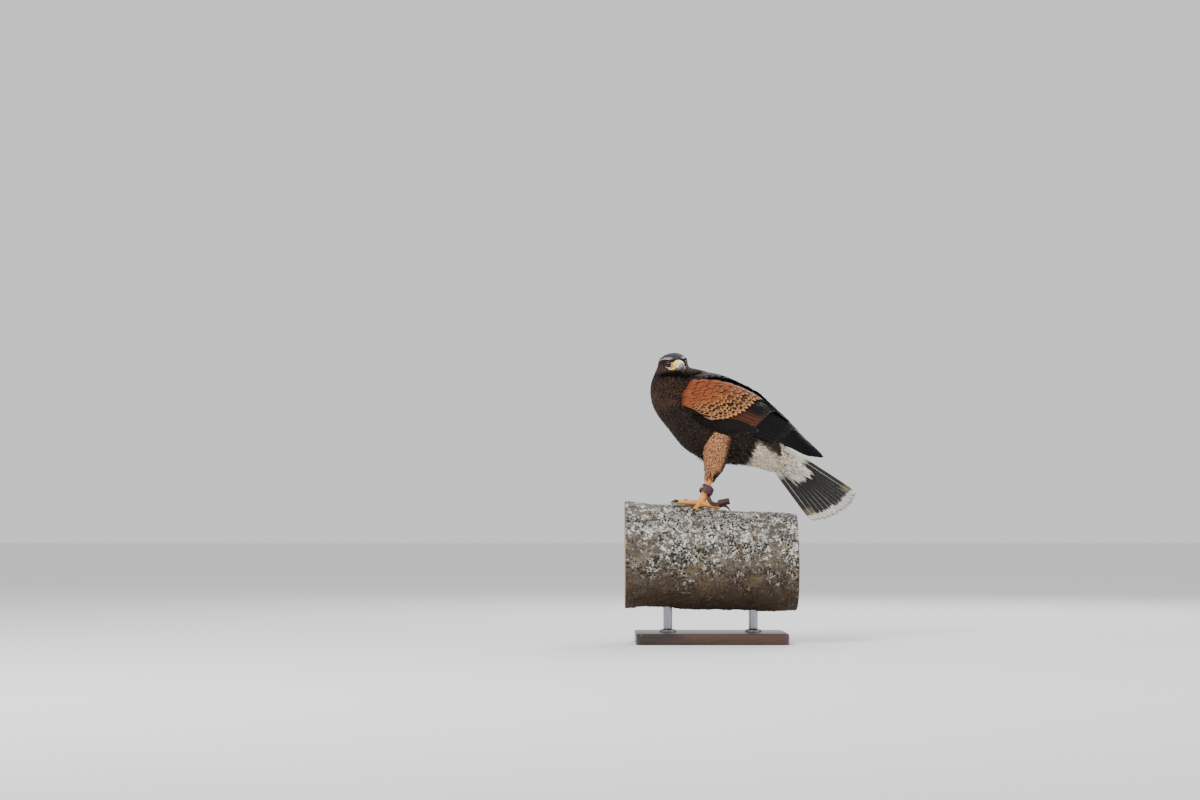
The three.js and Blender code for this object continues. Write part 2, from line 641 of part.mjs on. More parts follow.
function tailSolid() {
  const root = TAIL_ROOT.map(([x, wide, up, low]) => Array.from({ length: 14 }, (_, k) => {
    const a = 2 * Math.PI * k / 14;
    return vec(x, wide * Math.cos(a), (a < Math.PI ? up : low) * Math.sin(a));
  }));
  const pieces = [solid(loft(root))];
  for (let k = 0; k < TAIL.count; k += 1) pieces.push(tailVane(k));
  TAIL_COVERTS.forEach((set) => {
    for (let k = 0; k < set.count; k += 1) pieces.push(tailCovert(set, 2 * k / (set.count - 1) - 1));
  });
  return joined(pieces).transform(Array.from(tailTurn.elements));
}
const tail = tailSolid().subtract(grownTorso);
hawk.add(meshOf('tail', tail, 0x1d1816));

// Legs

const limbInHawk = (grow) => solid(limbGeometry(grow).applyMatrix4(toHawk));
const grownLimb = limbInHawk(GAP);

function footSpot(leg) {
  const [x, y] = leg.foot;
  return vec(x, y, groundAt(x, y) + 7);
}

function thighGeometry(leg, grow = 0) {
  const hip = vec(...leg.hip);
  const hock = vec(...leg.hock);
  const low = hock.clone().lerp(footSpot(leg), 0.3);
  const points = [hip, hip.clone().lerp(hock, 0.45), hip.clone().lerp(hock, 0.75), hock, low];
  return tube(points, [31, 28, 25, 20, 10].map((r) => r + grow), 14, 0.86, vec(0, 1, 0));
}

function tarsusGeometry(leg, grow = 0) {
  const hock = vec(...leg.hock);
  const foot = footSpot(leg);
  const points = [0, 0.25, 0.6, 0.9, 1.02].map((t) => hock.clone().lerp(foot, t));
  const radii = [8.6, 7.8, TARSUS_RADIUS, TARSUS_RADIUS + 0.3, TARSUS_RADIUS + 0.8];
  return tube(points, radii.map((r) => r + grow), 10, 0.84, vec(0, 1, 0));
}

// Toes: angle from the foot's forward line, length, and thickness at the root
const TOES = [
  { name: 'hind', turn: 178, length: 37, radius: 5.4, claw: 30 },
  { name: 'inner', turn: -34, length: 33, radius: 5, claw: 22 },
  { name: 'middle', turn: 0, length: 48, radius: 4.8, claw: 19 },
  { name: 'outer', turn: 60, length: 31, radius: 4.4, claw: 16 },
];

const TOE_TIP_RISE = 2.4;

// A point on the limb at a distance from the foot, lifted off it
function toePoint(leg, toe, distance, lift) {
  const [x, y] = leg.foot;
  const a = FOOT_TURN + leg.side * degrees(toe.turn);
  const px = x + distance * Math.cos(a);
  const py = y + distance * Math.sin(a);
  const here = vec(px, py, groundAt(px, py));
  const dx = vec(px + 1, py, groundAt(px + 1, py)).sub(here);
  const dy = vec(px, py + 1, groundAt(px, py + 1)).sub(here);
  return here.addScaledVector(dx.cross(dy).normalize(), lift);
}

function toeSolid(leg, toe, grow = 0) {
  const steps = 5;
  const points = [];
  const radii = [];
  for (let i = 0; i <= steps; i += 1) {
    const t = i / steps;
    const r = toe.radius * (1 - 0.22 * t) * (i % 2 ? 0.9 : 1.06);
    radii.push((i === steps ? r * 0.7 : r) + grow);
    points.push(toePoint(leg, toe, toe.length * t, r * 0.86 + 1.8 * Math.sin(Math.PI * t) + 4 * (1 - t) ** 3 + TOE_TIP_RISE * t * t));
  }
  return solid(tube(points, radii, 7));
}

// A claw, an arc that rises from the toe's end, bends forward and comes down to a point
function clawSolid(leg, toe, grow = 0) {
  const steps = 5;
  const points = [];
  const radii = [];
  const bend = degrees(118);
  const arc = toe.claw / bend;
  for (let i = 0; i <= steps; i += 1) {
    const t = i / steps;
    const a = degrees(-42) + bend * t;
    const reach = toe.length - 3 + arc * (Math.sin(a) + Math.sin(degrees(42)));
    const rise = toe.radius * 0.72 + TOE_TIP_RISE + arc * (Math.cos(a) - Math.cos(degrees(42)));
    points.push(toePoint(leg, toe, reach, Math.max(rise, 0.9)));
    radii.push(toe.radius * 0.72 * (1 - t) ** 0.75 + 0.3 + grow);
  }
  return solid(tube(points, radii, 6));
}

// A loose leather cuff round the lower shank, slanting down behind it
function anklet(leg, grow = 0) {
  const hock = vec(...leg.hock);
  const foot = footSpot(leg);
  const along = foot.clone().sub(hock).normalize();
  const middle = hock.clone().lerp(foot, 0.64).add(vec(-2.2, 0, 0));
  const slant = along.applyAxisAngle(vec(0, 1, 0), degrees(-14));
  const outside = tube([-8, 8].map((d) => middle.clone().addScaledVector(slant, d)),
    [12.6 + grow, 13.6 + grow], 16, 0.95, vec(0, 1, 0));
  return solid(outside).subtract(solid(tarsusGeometry(leg, GAP)));
}

// A leather strap that leaves the cuff behind, lies along the outside of the hind toe with its
// face outwards, and is rolled up at its end
function jess(leg) {
  const way = { turn: 178 };
  const heading = FOOT_TURN + leg.side * degrees(way.turn);
  const aside = vec(Math.sin(heading), -Math.cos(heading), 0).multiplyScalar(leg.side);
  const place = ([distance, out, lift]) => toePoint(leg, way, distance, lift).addScaledVector(aside, out);
  const path = [[13, 6.5, 19], [17, 8.6, 13.5], [23, 9.2, 10.5], [30, 9.4, 10.8], [37, 9.8, 13.5]];
  const [outer, inner] = [1.1, -1.1].map((off) => path.map((spot, i) => {
    const before = place(path[Math.max(i - 1, 0)]);
    const ahead = place(path[Math.min(i + 1, path.length - 1)]).sub(before).normalize();
    const up = ahead.clone().cross(aside).normalize().multiplyScalar(-leg.side);
    return [4.5, -4.5].map((w) => place(spot).addScaledVector(up, w).addScaledVector(aside, off));
  }));
  const roll = tube([[33, 10.2, 13.5], [44, 10.4, 16.6], [55, 10.2, 20]].map(place), [5.6, 6.4, 5.8], 9);
  return solid(plate(outer, inner)).add(solid(roll));
}

Object.entries(LEGS).forEach(([name, leg]) => {
  const thigh = solid(thighGeometry(leg));
  const grownThigh = solid(thighGeometry(leg, GAP));
  const grownTarsus = solid(tarsusGeometry(leg, GAP));
  const footCentre = footSpot(leg);
  const palmAt = (grow) => solid(ball(footCentre.clone().setZ(footCentre.z - 1), vec(9 + grow, 8 + grow, 6.5 + grow), 8, 6));
  const palm = palmAt(0);
  const footSplit = [footCentre.clone().add(vec(0, 0, 4)), vec(0, 0, 1)];
  const above = halfSpace(footSplit[0], footSplit[1], GAP / 2);
  const below = halfSpace(footSplit[0], down(footSplit), GAP / 2);
  const shank = solid(tarsusGeometry(leg));
  const toes = TOES.map((toe) => toeSolid(leg, toe));
  const claws = TOES.map((toe) => clawSolid(leg, toe));
  const grownClaws = joined(TOES.map((toe) => clawSolid(leg, toe, GAP)));
  const grownFoot = joined([palmAt(GAP), toeSolid(leg, TOES[0], GAP), toeSolid(leg, TOES[3], GAP), grownClaws]);
  const aroundTarsus = grownTarsus.intersect(halfSpace(footSplit[0], footSplit[1], -GAP / 2));
  const foot = joined([palm, shank.intersect(below), ...toes]).subtract(grownLimb)
    .subtract(grownClaws).subtract(aroundTarsus);
  const tarsus = shank.intersect(above).subtract(grownThigh);
  hawk.add(meshOf('thigh_' + name, thigh.subtract(grownBody), 0x8a4a28));
  hawk.add(meshOf('tarsus_' + name, tarsus, 0xd9a441, 0.6));
  hawk.add(meshOf('foot_' + name, foot, 0xd9a441, 0.6));
  TOES.forEach((toe, i) => {
    hawk.add(meshOf('claw_' + name + '_' + toe.name, claws[i].subtract(grownLimb), 0x15120f, 0.35));
  });
  const cuff = anklet(leg);
  hawk.add(meshOf('anklet_' + name, cuff, 0x4a2734, 0.7));
  hawk.add(meshOf('jess_' + name, jess(leg).subtract(grownLimb).subtract(grownFoot).subtract(anklet(leg, GAP)), 0x4a2734, 0.7));
});

// Stand

const stand = new THREE.Group();
function baseGeometry() {
  const { length, width, height, corner } = BASE;
  const outline = new THREE.Shape();
  outline.moveTo(-length / 2 + corner, -width / 2);
  outline.lineTo(length / 2 - corner, -width / 2);
  outline.absarc(length / 2 - corner, -width / 2 + corner, corner, -Math.PI / 2, 0);
  outline.absarc(length / 2 - corner, width / 2 - corner, corner, 0, Math.PI / 2);
  outline.absarc(-length / 2 + corner, width / 2 - corner, corner, Math.PI / 2, Math.PI);
  outline.absarc(-length / 2 + corner, -width / 2 + corner, corner, Math.PI, Math.PI * 1.5);
  return new THREE.ExtrudeGeometry(outline, { depth: height, bevelEnabled: false, curveSegments: 5 });
}
stand.add(meshOf('stand_base', solid(baseGeometry()), 0x2e2621, 0.5));
const worldLimb = solid(limbGeometry(GAP));
[-1, 1].forEach((side, i) => {
  const top = limbAxis(side * ROD.apart / 2);
  const rod = new THREE.CylinderGeometry(ROD.radius, ROD.radius, top - BASE.height - GAP, 20);
  rod.rotateX(Math.PI / 2);
  rod.translate(side * ROD.apart / 2, 0, (top + BASE.height + GAP) / 2);
  stand.add(meshOf('stand_rod_' + (i + 1), solid(rod).subtract(worldLimb), 0x8d8d90, 0.35, 0.9));
});
stand.add(meshOf('perch_limb', solid(limbGeometry()), 0x8f8c84, 0.9));

const model = new THREE.Group();
model.add(stand, hawk);

export default model;
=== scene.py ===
import bpy
import numpy as np
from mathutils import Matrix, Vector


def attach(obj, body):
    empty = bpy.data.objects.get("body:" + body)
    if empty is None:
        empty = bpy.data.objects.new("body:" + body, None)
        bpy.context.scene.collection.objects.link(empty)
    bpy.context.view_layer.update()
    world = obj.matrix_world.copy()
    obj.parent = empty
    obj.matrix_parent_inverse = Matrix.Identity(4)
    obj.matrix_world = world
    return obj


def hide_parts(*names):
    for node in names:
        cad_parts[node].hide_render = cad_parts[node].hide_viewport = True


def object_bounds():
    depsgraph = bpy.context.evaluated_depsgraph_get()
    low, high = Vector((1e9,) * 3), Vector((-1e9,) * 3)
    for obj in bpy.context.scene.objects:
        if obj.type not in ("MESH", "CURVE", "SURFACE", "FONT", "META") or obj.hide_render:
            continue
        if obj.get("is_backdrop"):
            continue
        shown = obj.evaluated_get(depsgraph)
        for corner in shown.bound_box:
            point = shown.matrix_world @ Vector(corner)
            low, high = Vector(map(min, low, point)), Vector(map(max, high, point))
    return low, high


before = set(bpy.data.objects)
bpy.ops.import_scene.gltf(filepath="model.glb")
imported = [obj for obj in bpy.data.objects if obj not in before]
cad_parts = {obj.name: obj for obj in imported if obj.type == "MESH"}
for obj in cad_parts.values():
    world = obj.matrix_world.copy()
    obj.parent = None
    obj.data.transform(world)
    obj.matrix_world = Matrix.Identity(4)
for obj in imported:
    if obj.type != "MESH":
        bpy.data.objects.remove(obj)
cad_box = [list(corner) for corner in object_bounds()]


# Studio: a pale floor, soft light from the upper left, and a camera where the viewer stood,
# five metres away and a little below the hawk, looking slightly up at it.

def colour(red, green, blue):
    """The linear value of a screen colour given as 0 to 255: each share to the power 2.2."""
    return tuple(((np.array([red, green, blue]) / 255) ** 2.2).tolist()) + (1.0,)


def new_material(name, roughness, **sockets):
    """A material with one Principled shader, whose uniform numbers are set on its own sockets."""
    material = bpy.data.materials.new(name)
    material.use_nodes = True
    shader = material.node_tree.nodes["Principled BSDF"]
    shader.inputs["Roughness"].default_value = roughness
    for socket, value in sockets.items():
        shader.inputs[socket.replace("_", " ")].default_value = value
    return material, material.node_tree, shader


def add_node(tree, kind, settings=None, **inputs):
    """A node of a kind. An input given as a socket is linked, and any other value is set."""
    node = tree.nodes.new("ShaderNode" + kind)
    for key, value in (settings or {}).items():
        setattr(node, key, value)
    for key, value in inputs.items():
        socket = node.inputs[int(key[1:]) if key[1:].isdigit() else key.replace("_", " ")]
        if isinstance(value, bpy.types.NodeSocket):
            tree.links.new(value, socket)
        else:
            socket.default_value = value
    return node


def set_base(shader, tint):
    """Takes the shader's base colour from a socket."""
    shader.id_data.links.new(tint, shader.inputs["Base Color"])


def grid_faces(rows, columns, around=False):
    """Four-sided faces between the neighbours of a grid of points, joined round where it closes."""
    i, j = np.meshgrid(np.arange(rows - 1), np.arange(columns if around else columns - 1), indexing="ij")
    k = (j + 1) % columns
    corners = [i * columns + j, i * columns + k, (i + 1) * columns + k, (i + 1) * columns + j]
    return np.stack(corners, -1).reshape(-1, 4)


def add_mesh(name, points, faces, *materials, sharp=None):
    """An object from points in millimetres and blocks of faces, each block with faces of one size."""
    mesh = bpy.data.meshes.new(name)
    points = np.asarray(points, float).reshape(-1, 3) / 1000
    mesh.vertices.add(len(points))
    mesh.vertices.foreach_set("co", points.ravel())
    corners = np.concatenate([block.ravel() for block in faces])
    sizes = np.concatenate([np.full(len(block), block.shape[1]) for block in faces])
    mesh.loops.add(len(corners))
    mesh.loops.foreach_set("vertex_index", corners)
    mesh.polygons.add(len(sizes))
    mesh.polygons.foreach_set("loop_start", np.concatenate([[0], np.cumsum(sizes)[:-1]]))
    mesh.update(calc_edges=True)
    mesh.shade_smooth()
    if sharp:
        mesh.set_sharp_from_angle(angle=np.radians(sharp))
    for material in materials:
        mesh.materials.append(material)
    made = bpy.data.objects.new(name, mesh)
    bpy.context.scene.collection.objects.link(made)
    return made


floor_paint, tree, shader = new_material("pale_floor", 0.9)
spot = add_node(tree, "TexCoord").outputs["Object"]
speckle = add_node(tree, "TexNoise", Vector=spot, Scale=1.5, Detail=3)
level = add_node(tree, "MapRange", Value=speckle.outputs["Fac"], To_Min=0.80, To_Max=0.82).outputs[0]
grey = add_node(tree, "CombineColor", Red=level, Green=level, Blue=level).outputs[0]
set_base(shader, grey)
across, along = np.meshgrid(np.linspace(-40000, 40000, 9), np.linspace(-40000, 40000, 9))
floor = add_mesh("floor", np.stack([across, along, across * 0], -1), [grid_faces(9, 9)], floor_paint)
floor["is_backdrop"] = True

world = bpy.data.worlds.new("studio")
bpy.context.scene.world = world
world.use_nodes = True
world.node_tree.nodes["Background"].inputs["Color"].default_value = (0.93, 0.94, 0.96, 1)
world.node_tree.nodes["Background"].inputs["Strength"].default_value = 0.92

LIGHTS = {  # place in metres, size and power in watts
    "key_light": ((-1.7, -2.3, 2.4), 1.1, 120),
    "fill_light": ((2.4, -1.8, 1.2), 2.0, 26),
    "back_light": ((0.9, 2.2, 2.3), 1.4, 60),
}
middle = np.array([0.0, 0.0, 0.4])
for name, (place, size, power) in LIGHTS.items():
    lamp = bpy.data.lights.new(name, "AREA")
    lamp.size = size
    lamp.energy = power
    holder = bpy.data.objects.new(name, lamp)
    holder.location = place
    holder.rotation_euler = (Vector(middle) - Vector(place)).to_track_quat("-Z", "Y").to_euler()
    bpy.context.scene.collection.objects.link(holder)

AIM = (-0.22, 0.0, 0.484)
DISTANCE = 5.0
TILT = np.radians(-3)
camera = bpy.data.objects.new("camera", bpy.data.cameras.new("camera"))
camera.data.lens = 75
camera.data.sensor_width = 36
camera.data.clip_end = 200
camera.location = Vector(AIM) + Vector((0, -np.cos(TILT), np.sin(TILT))) * DISTANCE
camera.rotation_euler = (np.pi / 2 - TILT, 0, 0)
bpy.context.scene.collection.objects.link(camera)
bpy.context.scene.camera = camera


# Stand: a stained hardwood board with eased edges and two steel rods in round feet, screwed to
# the board from below. The rods go up into the limb and carry it.

def outward(points, faces):
    """The same faces, turned round if the volume that they close comes out negative."""
    volume = 0
    for block in faces:
        corner = points[block]
        for k in range(1, block.shape[1] - 1):
            volume += np.einsum("ij,ij", corner[:, 0], np.cross(corner[:, k], corner[:, k + 1]))
    return faces if volume > 0 else [block[:, ::-1] for block in faces]


def loft(rings):
    """A closed surface: faces between neighbouring rings, and a fan to the middle of each end ring."""
    rows, columns = rings.shape[:2]
    points = np.concatenate([rings.reshape(-1, 3), rings[[0, -1]].mean(1)])
    j = np.arange(columns)
    k = (j + 1) % columns
    start = np.stack([np.full(columns, rows * columns), k, j], 1)
    last = (rows - 1) * columns
    end = np.stack([np.full(columns, rows * columns + 1), j + last, k + last], 1)
    return points, outward(points, [grid_faces(rows, columns, True), start, end])


def add_piece(name, surface, slot, *materials, replaces=(), sharp=None):
    """A piece of the object: a mesh that rides on the body and hides the nodes that it replaces; its finish
    slot is not used.
    """
    made = add_mesh(name, surface[0], surface[1], *materials, sharp=sharp)
    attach(made, "root")
    if replaces:
        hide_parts(*replaces)
    return made


def object_noise(tree, scale, detail=4, roughness=0.55, stretch=(1, 1, 1)):
    """Fractal noise on the object's own coordinates, with features about 1 / scale metres across."""
    spot = add_node(tree, "TexCoord").outputs["Object"]
    turned = add_node(tree, "Mapping", Vector=spot, Scale=stretch).outputs[0]
    made = add_node(tree, "TexNoise", Vector=turned, Scale=scale, Detail=detail, Roughness=roughness)
    return made.outputs["Fac"]


def ramp(tree, value, low, high, to_low=0.0, to_high=1.0):
    """The value carried smoothly from between low and high to between two others, and held there."""
    settings = {"interpolation_type": "SMOOTHSTEP"}
    made = add_node(tree, "MapRange", settings, Value=value, From_Min=low, From_Max=high, To_Min=to_low,
                    To_Max=to_high)
    return made.outputs[0]


def blend(tree, share, first, second):
    """The first colour where the share is 0 and the second where it is 1."""
    made = add_node(tree, "Mix", {"data_type": "RGBA"}, _0=share, _6=first, _7=second)
    return made.outputs[2]


def maths(tree, operation, first, second=0.0):
    """One sum on two values."""
    return add_node(tree, "Math", {"operation": operation}, _0=first, _1=second).outputs[0]


def add_bump(tree, shader, height, distance, strength=1.0):
    """Small relief on the finish, as high as the distance in metres where the height is 1."""
    made = add_node(tree, "Bump", Height=height, Distance=distance, Strength=strength)
    tree.links.new(made.outputs[0], shader.inputs["Normal"])


BOARD = {"length": 300, "width": 210, "height": 22, "corner": 14, "ease": 3}
ROD = {"radius": 9, "apart": 170, "foot": 17, "foot_height": 5}

board_paint, tree, shader = new_material("stained_board", 0.4, Coat_Weight=0.25, Coat_Roughness=0.2)
grain = object_noise(tree, 9, 6, 0.6, (1, 9, 9))
fibre = object_noise(tree, 60, 4, 0.7, (0.6, 12, 12))
tint = blend(tree, ramp(tree, grain, 0.35, 0.65), colour(74, 47, 32), colour(38, 24, 17))
tint = blend(tree, ramp(tree, fibre, 0.45, 0.75, 0, 0.6), tint, colour(24, 15, 11))
set_base(shader, tint)
add_bump(tree, shader, fibre, 0.0004, 0.5)

# The outline with rounded corners, drawn in by each inset: corner centres plus arcs of what is left
turns = np.linspace(0, np.pi / 2, 13)
corner_turn = np.concatenate([turns + quarter * np.pi / 2 for quarter in range(4)])
side_x = np.repeat([1, -1, -1, 1], 13) * (BOARD["length"] / 2 - BOARD["corner"])
side_y = np.repeat([1, 1, -1, -1], 13) * (BOARD["width"] / 2 - BOARD["corner"])
ease = BOARD["ease"]
bend = np.linspace(0, np.pi / 2, 6)
insets = np.concatenate([[3, 1, 0, 0], ease * (1 - np.cos(bend)), [ease + 4]])
levels = np.concatenate([[0, 0, 1, BOARD["height"] - ease - 1], BOARD["height"] - ease + ease * np.sin(bend),
                         [BOARD["height"]]])
reach = BOARD["corner"] - insets[:, None]
board = np.stack([side_x + reach * np.cos(corner_turn), side_y + reach * np.sin(corner_turn),
                  np.repeat(levels[:, None], len(corner_turn), 1)], -1)
add_piece("display_board", loft(board), "stand_board", board_paint, replaces=["stand_base"], sharp=50)

steel, tree, shader = new_material("brushed_steel", 0.3, Metallic=1.0)
scratches = object_noise(tree, 300, 3, 0.6, (1, 1, 0.04))
set_base(shader, blend(tree, scratches, colour(126, 128, 132), colour(176, 178, 182)))
tree.links.new(ramp(tree, scratches, 0.3, 0.7, 0.22, 0.42), shader.inputs["Roughness"])


# Limb: a cut length of thick beech limb, a little flat on top where the hawk stands. Its grey bark
# is crusted with pale lichen and black specks, with painted shade below, and its two ends are sawn across.

LIMB = {"length": 340, "radius": 101, "taper": 0.026, "axis": 168.5, "drop": 0.052, "lump": 1.6}
STAND_X = -20


def circle(count):
    """Even turns once round, without the last one, which is the first again."""
    return np.linspace(0, 2 * np.pi, count, endpoint=False)


def limb_radius(x, turn):
    """Radius of the limb: tapered, risen beside its flat top, with long low waves along and around."""
    off = np.abs(np.arctan2(np.sin(turn - np.pi / 2), np.cos(turn - np.pi / 2))) / np.radians(22)
    fading = np.cos(np.clip((off - 1) / 1.6, 0, 1) * np.pi / 2)
    beside = 0.058 * np.where(off < 1, off ** 2, fading ** 2)
    waves = LIMB["lump"] * (np.sin(0.041 * x + 2 * turn) + 0.7 * np.sin(3 * turn - 0.026 * x + 1))
    return (LIMB["radius"] - LIMB["taper"] * (x - STAND_X)) * (1 + beside) + waves


def limb_point(x, turn, lift=0.0):
    """The point of the bark at a place along the limb and a turn around it, lifted off it."""
    reach = limb_radius(x, turn) + lift
    axis = LIMB["axis"] - LIMB["drop"] * (x - STAND_X)
    return np.stack([x + 0 * reach, reach * np.cos(turn), axis + reach * np.sin(turn)], -1)


def limb_top(x, y):
    """Height of the bark's top at a place seen from above."""
    turn = np.full(np.shape(y), np.pi / 2)
    for _ in range(4):
        turn = np.arccos(np.clip(y / limb_radius(x, turn), -0.99, 0.99))
    return limb_point(x, turn)[..., 2]


def noise(points, size, seed=0):
    """Smooth random numbers from -1 to 1: every corner of a lattice of cubes, each as wide as the
    size, has a number of its own, and a point mixes its eight corners by smoothed nearness."""
    cell = np.asarray(points, float) / size
    base = np.floor(cell).astype(np.int64)
    part = cell - base
    part = part * part * (3 - 2 * part)
    total = 0
    for corner in np.ndindex(2, 2, 2):
        key = base + corner
        code = key[..., 0] * 73856093 ^ key[..., 1] * 19349663 ^ key[..., 2] * 83492791 ^ (seed + 1) * 2654435
        code = (code ^ (code >> 13)) * 1274126177
        value = ((code ^ (code >> 16)) & 65535) / 32767.5 - 1
        total = total + value * np.prod(np.where(corner, part, 1 - part), -1)
    return total


def bark_lift(x, turn):
    """Relief of the bark: low swellings, wrinkles that run round the limb, and raised lichen crusts."""
    spot = limb_point(x, turn)
    crust = np.clip(noise(spot, 17, 1) + 0.6 * noise(spot, 7, 2) - 0.1, 0, 0.35) / 0.35
    wrinkle = noise(spot * [1.6, 0.35, 0.35], 6, 3) * noise(spot, 30, 4)
    fine = noise(spot, 2.6, 5)
    return 0.9 * noise(spot, 26, 6) + 1.3 * wrinkle + crust * (0.9 + 0.6 * fine) + 0.45 * fine - 0.7


columns = 380
turn, x = np.meshgrid(circle(columns), np.linspace(-LIMB["length"] / 2, LIMB["length"] / 2, 190))
bark = limb_point(x, turn, bark_lift(x, turn))
shrink = np.array([0.992, 0.98, 0.9, 0.7, 0.45, 0.2])[:, None, None]


def sawn_end(ring, side):
    """The flat sawn face: the end ring drawn in to its middle, with faint saw marks across it."""
    middle = ring.mean(0)
    rings = middle + (ring - middle) * shrink
    marks = 0.35 * np.sin(rings[..., 2] * 1.7 + 0.05 * rings[..., 1]) + 0.3 * noise(rings, 5, 8)
    rings[..., 0] = ring[0, 0] + side * (0.4 + 0.25 * marks)
    return rings


rings = np.concatenate([sawn_end(bark[0], -1)[::-1], bark, sawn_end(bark[-1], 1)])

bark_finish, tree, shader = new_material("lichened_bark", 0.85, Specular_IOR_Level=0.3)
spot = add_node(tree, "TexCoord").outputs["Object"]
height = add_node(tree, "SeparateXYZ", Vector=spot).outputs["Z"]
broad = object_noise(tree, 22, 5, 0.6)
crusts = object_noise(tree, 105, 9, 0.72)
specks = object_noise(tree, 260, 5, 0.7)
hue = object_noise(tree, 40, 4, 0.6)
tint = blend(tree, ramp(tree, hue, 0.4, 0.62), colour(84, 74, 64), colour(112, 102, 90))
pale = blend(tree, ramp(tree, hue, 0.42, 0.6), colour(150, 150, 145), colour(204, 202, 194))
patchy = maths(tree, "ADD", crusts, maths(tree, "MULTIPLY", maths(tree, "SUBTRACT", broad, 0.5), 0.55))
# Painted shade by height: fewer pale crusts towards the bottom of the limb, more on top.
shade = ramp(tree, height, 0.10, 0.235, -0.075, 0.03)
tint = blend(tree, ramp(tree, maths(tree, "ADD", patchy, shade), 0.497, 0.545), tint, pale)
# Painted shade below: yellow-brown patches that grow towards the underside.
underside_shade_patches = maths(tree, "MULTIPLY", ramp(tree, object_noise(tree, 34, 6, 0.7), 0.52, 0.63),
              ramp(tree, height, 0.25, 0.16, 0.1, 0.9))
tint = blend(tree, underside_shade_patches, tint, colour(112, 94, 54))
dark = maths(tree, "ADD", specks, ramp(tree, broad, 0.4, 0.62, -0.03, 0.045))
tint = blend(tree, ramp(tree, dark, 0.518, 0.575), tint, colour(26, 24, 22))
# Painted shade: a darker brown over the underside of the limb.
tint = blend(tree, ramp(tree, height, 0.175, 0.085, 0, 0.75), tint, colour(62, 45, 30))
set_base(shader, tint)
add_bump(tree, shader, maths(tree, "SUBTRACT", crusts, ramp(tree, dark, 0.518, 0.575, 0, 0.25)), 0.003, 0.8)

cut_wood, tree, shader = new_material("sawn_wood", 0.75)
spot = add_node(tree, "TexCoord").outputs["Object"]
from_pith = add_node(tree, "Mapping", Vector=spot, Location=(0, 0.006, -0.165), Scale=(0, 1, 1)).outputs[0]
distance = add_node(tree, "VectorMath", {"operation": "LENGTH"}, _0=from_pith).outputs["Value"]
wavy = maths(tree, "ADD", distance, maths(tree, "MULTIPLY", object_noise(tree, 18, 3), 0.006))
years = maths(tree, "SINE", maths(tree, "MULTIPLY", wavy, 1900.0))
tint = blend(tree, ramp(tree, years, -0.2, 1.0, 0, 0.75), colour(192, 160, 118), colour(150, 112, 74))
tint = blend(tree, ramp(tree, distance, 0.086, 0.092), tint, colour(98, 74, 52))
tint = blend(tree, ramp(tree, object_noise(tree, 30, 5, 0.7), 0.5, 0.75, 0, 0.55), tint, colour(104, 84, 62))
set_base(shader, tint)
add_bump(tree, shader, object_noise(tree, 500, 3), 0.0006, 0.6)

limb = add_piece("limb_bark", loft(rings), "bark", bark_finish, cut_wood, replaces=["perch_limb"], sharp=55)
ends = np.zeros(len(limb.data.polygons), np.int32)
middles = np.zeros(len(ends) * 3)
limb.data.polygons.foreach_get("center", middles)
ends[np.abs(middles[0::3]) > (LIMB["length"] / 2 - 0.05) / 1000] = 1
limb.data.polygons.foreach_set("material_index", ends)

for side in (-1, 1):
    # A rod with its turned foot: radii at heights from the board up into the limb, spun round
    x = side * ROD["apart"] / 2
    under = limb_point(np.array(x), np.array(-np.pi / 2))[2]
    base = BOARD["height"]
    foot = base + ROD["foot_height"]
    profile = np.array([[base, ROD["foot"] - 1], [base + 1, ROD["foot"]], [foot - 1.5, ROD["foot"]],
                        [foot, ROD["foot"] - 1.5], [foot + 0.4, ROD["radius"] + 1.5],
                        [foot + 2, ROD["radius"]], [under - 20, ROD["radius"]], [under + 14, ROD["radius"]]])
    turn = circle(64)
    rod = np.stack([x + profile[:, 1:] * np.cos(turn), profile[:, 1:] * np.sin(turn),
                    profile[:, :1] + 0 * turn], -1)
    name = "stand_rod_1" if side < 0 else "stand_rod_2"
    add_piece(name + "_steel", loft(rod), "stand_steel", steel, replaces=[name], sharp=40)


# Body: the flesh of torso, neck and head under the plumage, one unbroken skin from crown to tail.
# It is set out in the hawk's own frame, x forward, y to its left and z up from the limb's top.

BODY_YAW = np.radians(180 + 25)
STAND = np.array([STAND_X, 0, float(limb_top(np.array(float(STAND_X)), np.array(0.0)))])


def turn_about(axis, turn):
    """The matrix of a turn about axis 0, 1 or 2."""
    made = np.eye(3)
    i, j = [(1, 2), (2, 0), (0, 1)][axis]
    made[i, i] = made[j, j] = np.cos(turn)
    made[j, i], made[i, j] = np.sin(turn), -np.sin(turn)
    return made


HAWK_TURN = turn_about(2, BODY_YAW)


def on_limb(points):
    """Points of the hawk's frame, turned and set on the limb."""
    return points @ HAWK_TURN.T + STAND


def add_part(name, surface, slot, finish, replaces=(), carry=np.asarray):
    """A piece with its surface in the hawk's frame, or in another that is carried into it."""
    return add_piece(name, (on_limb(carry(surface[0])), surface[1]), slot, finish, replaces=replaces)


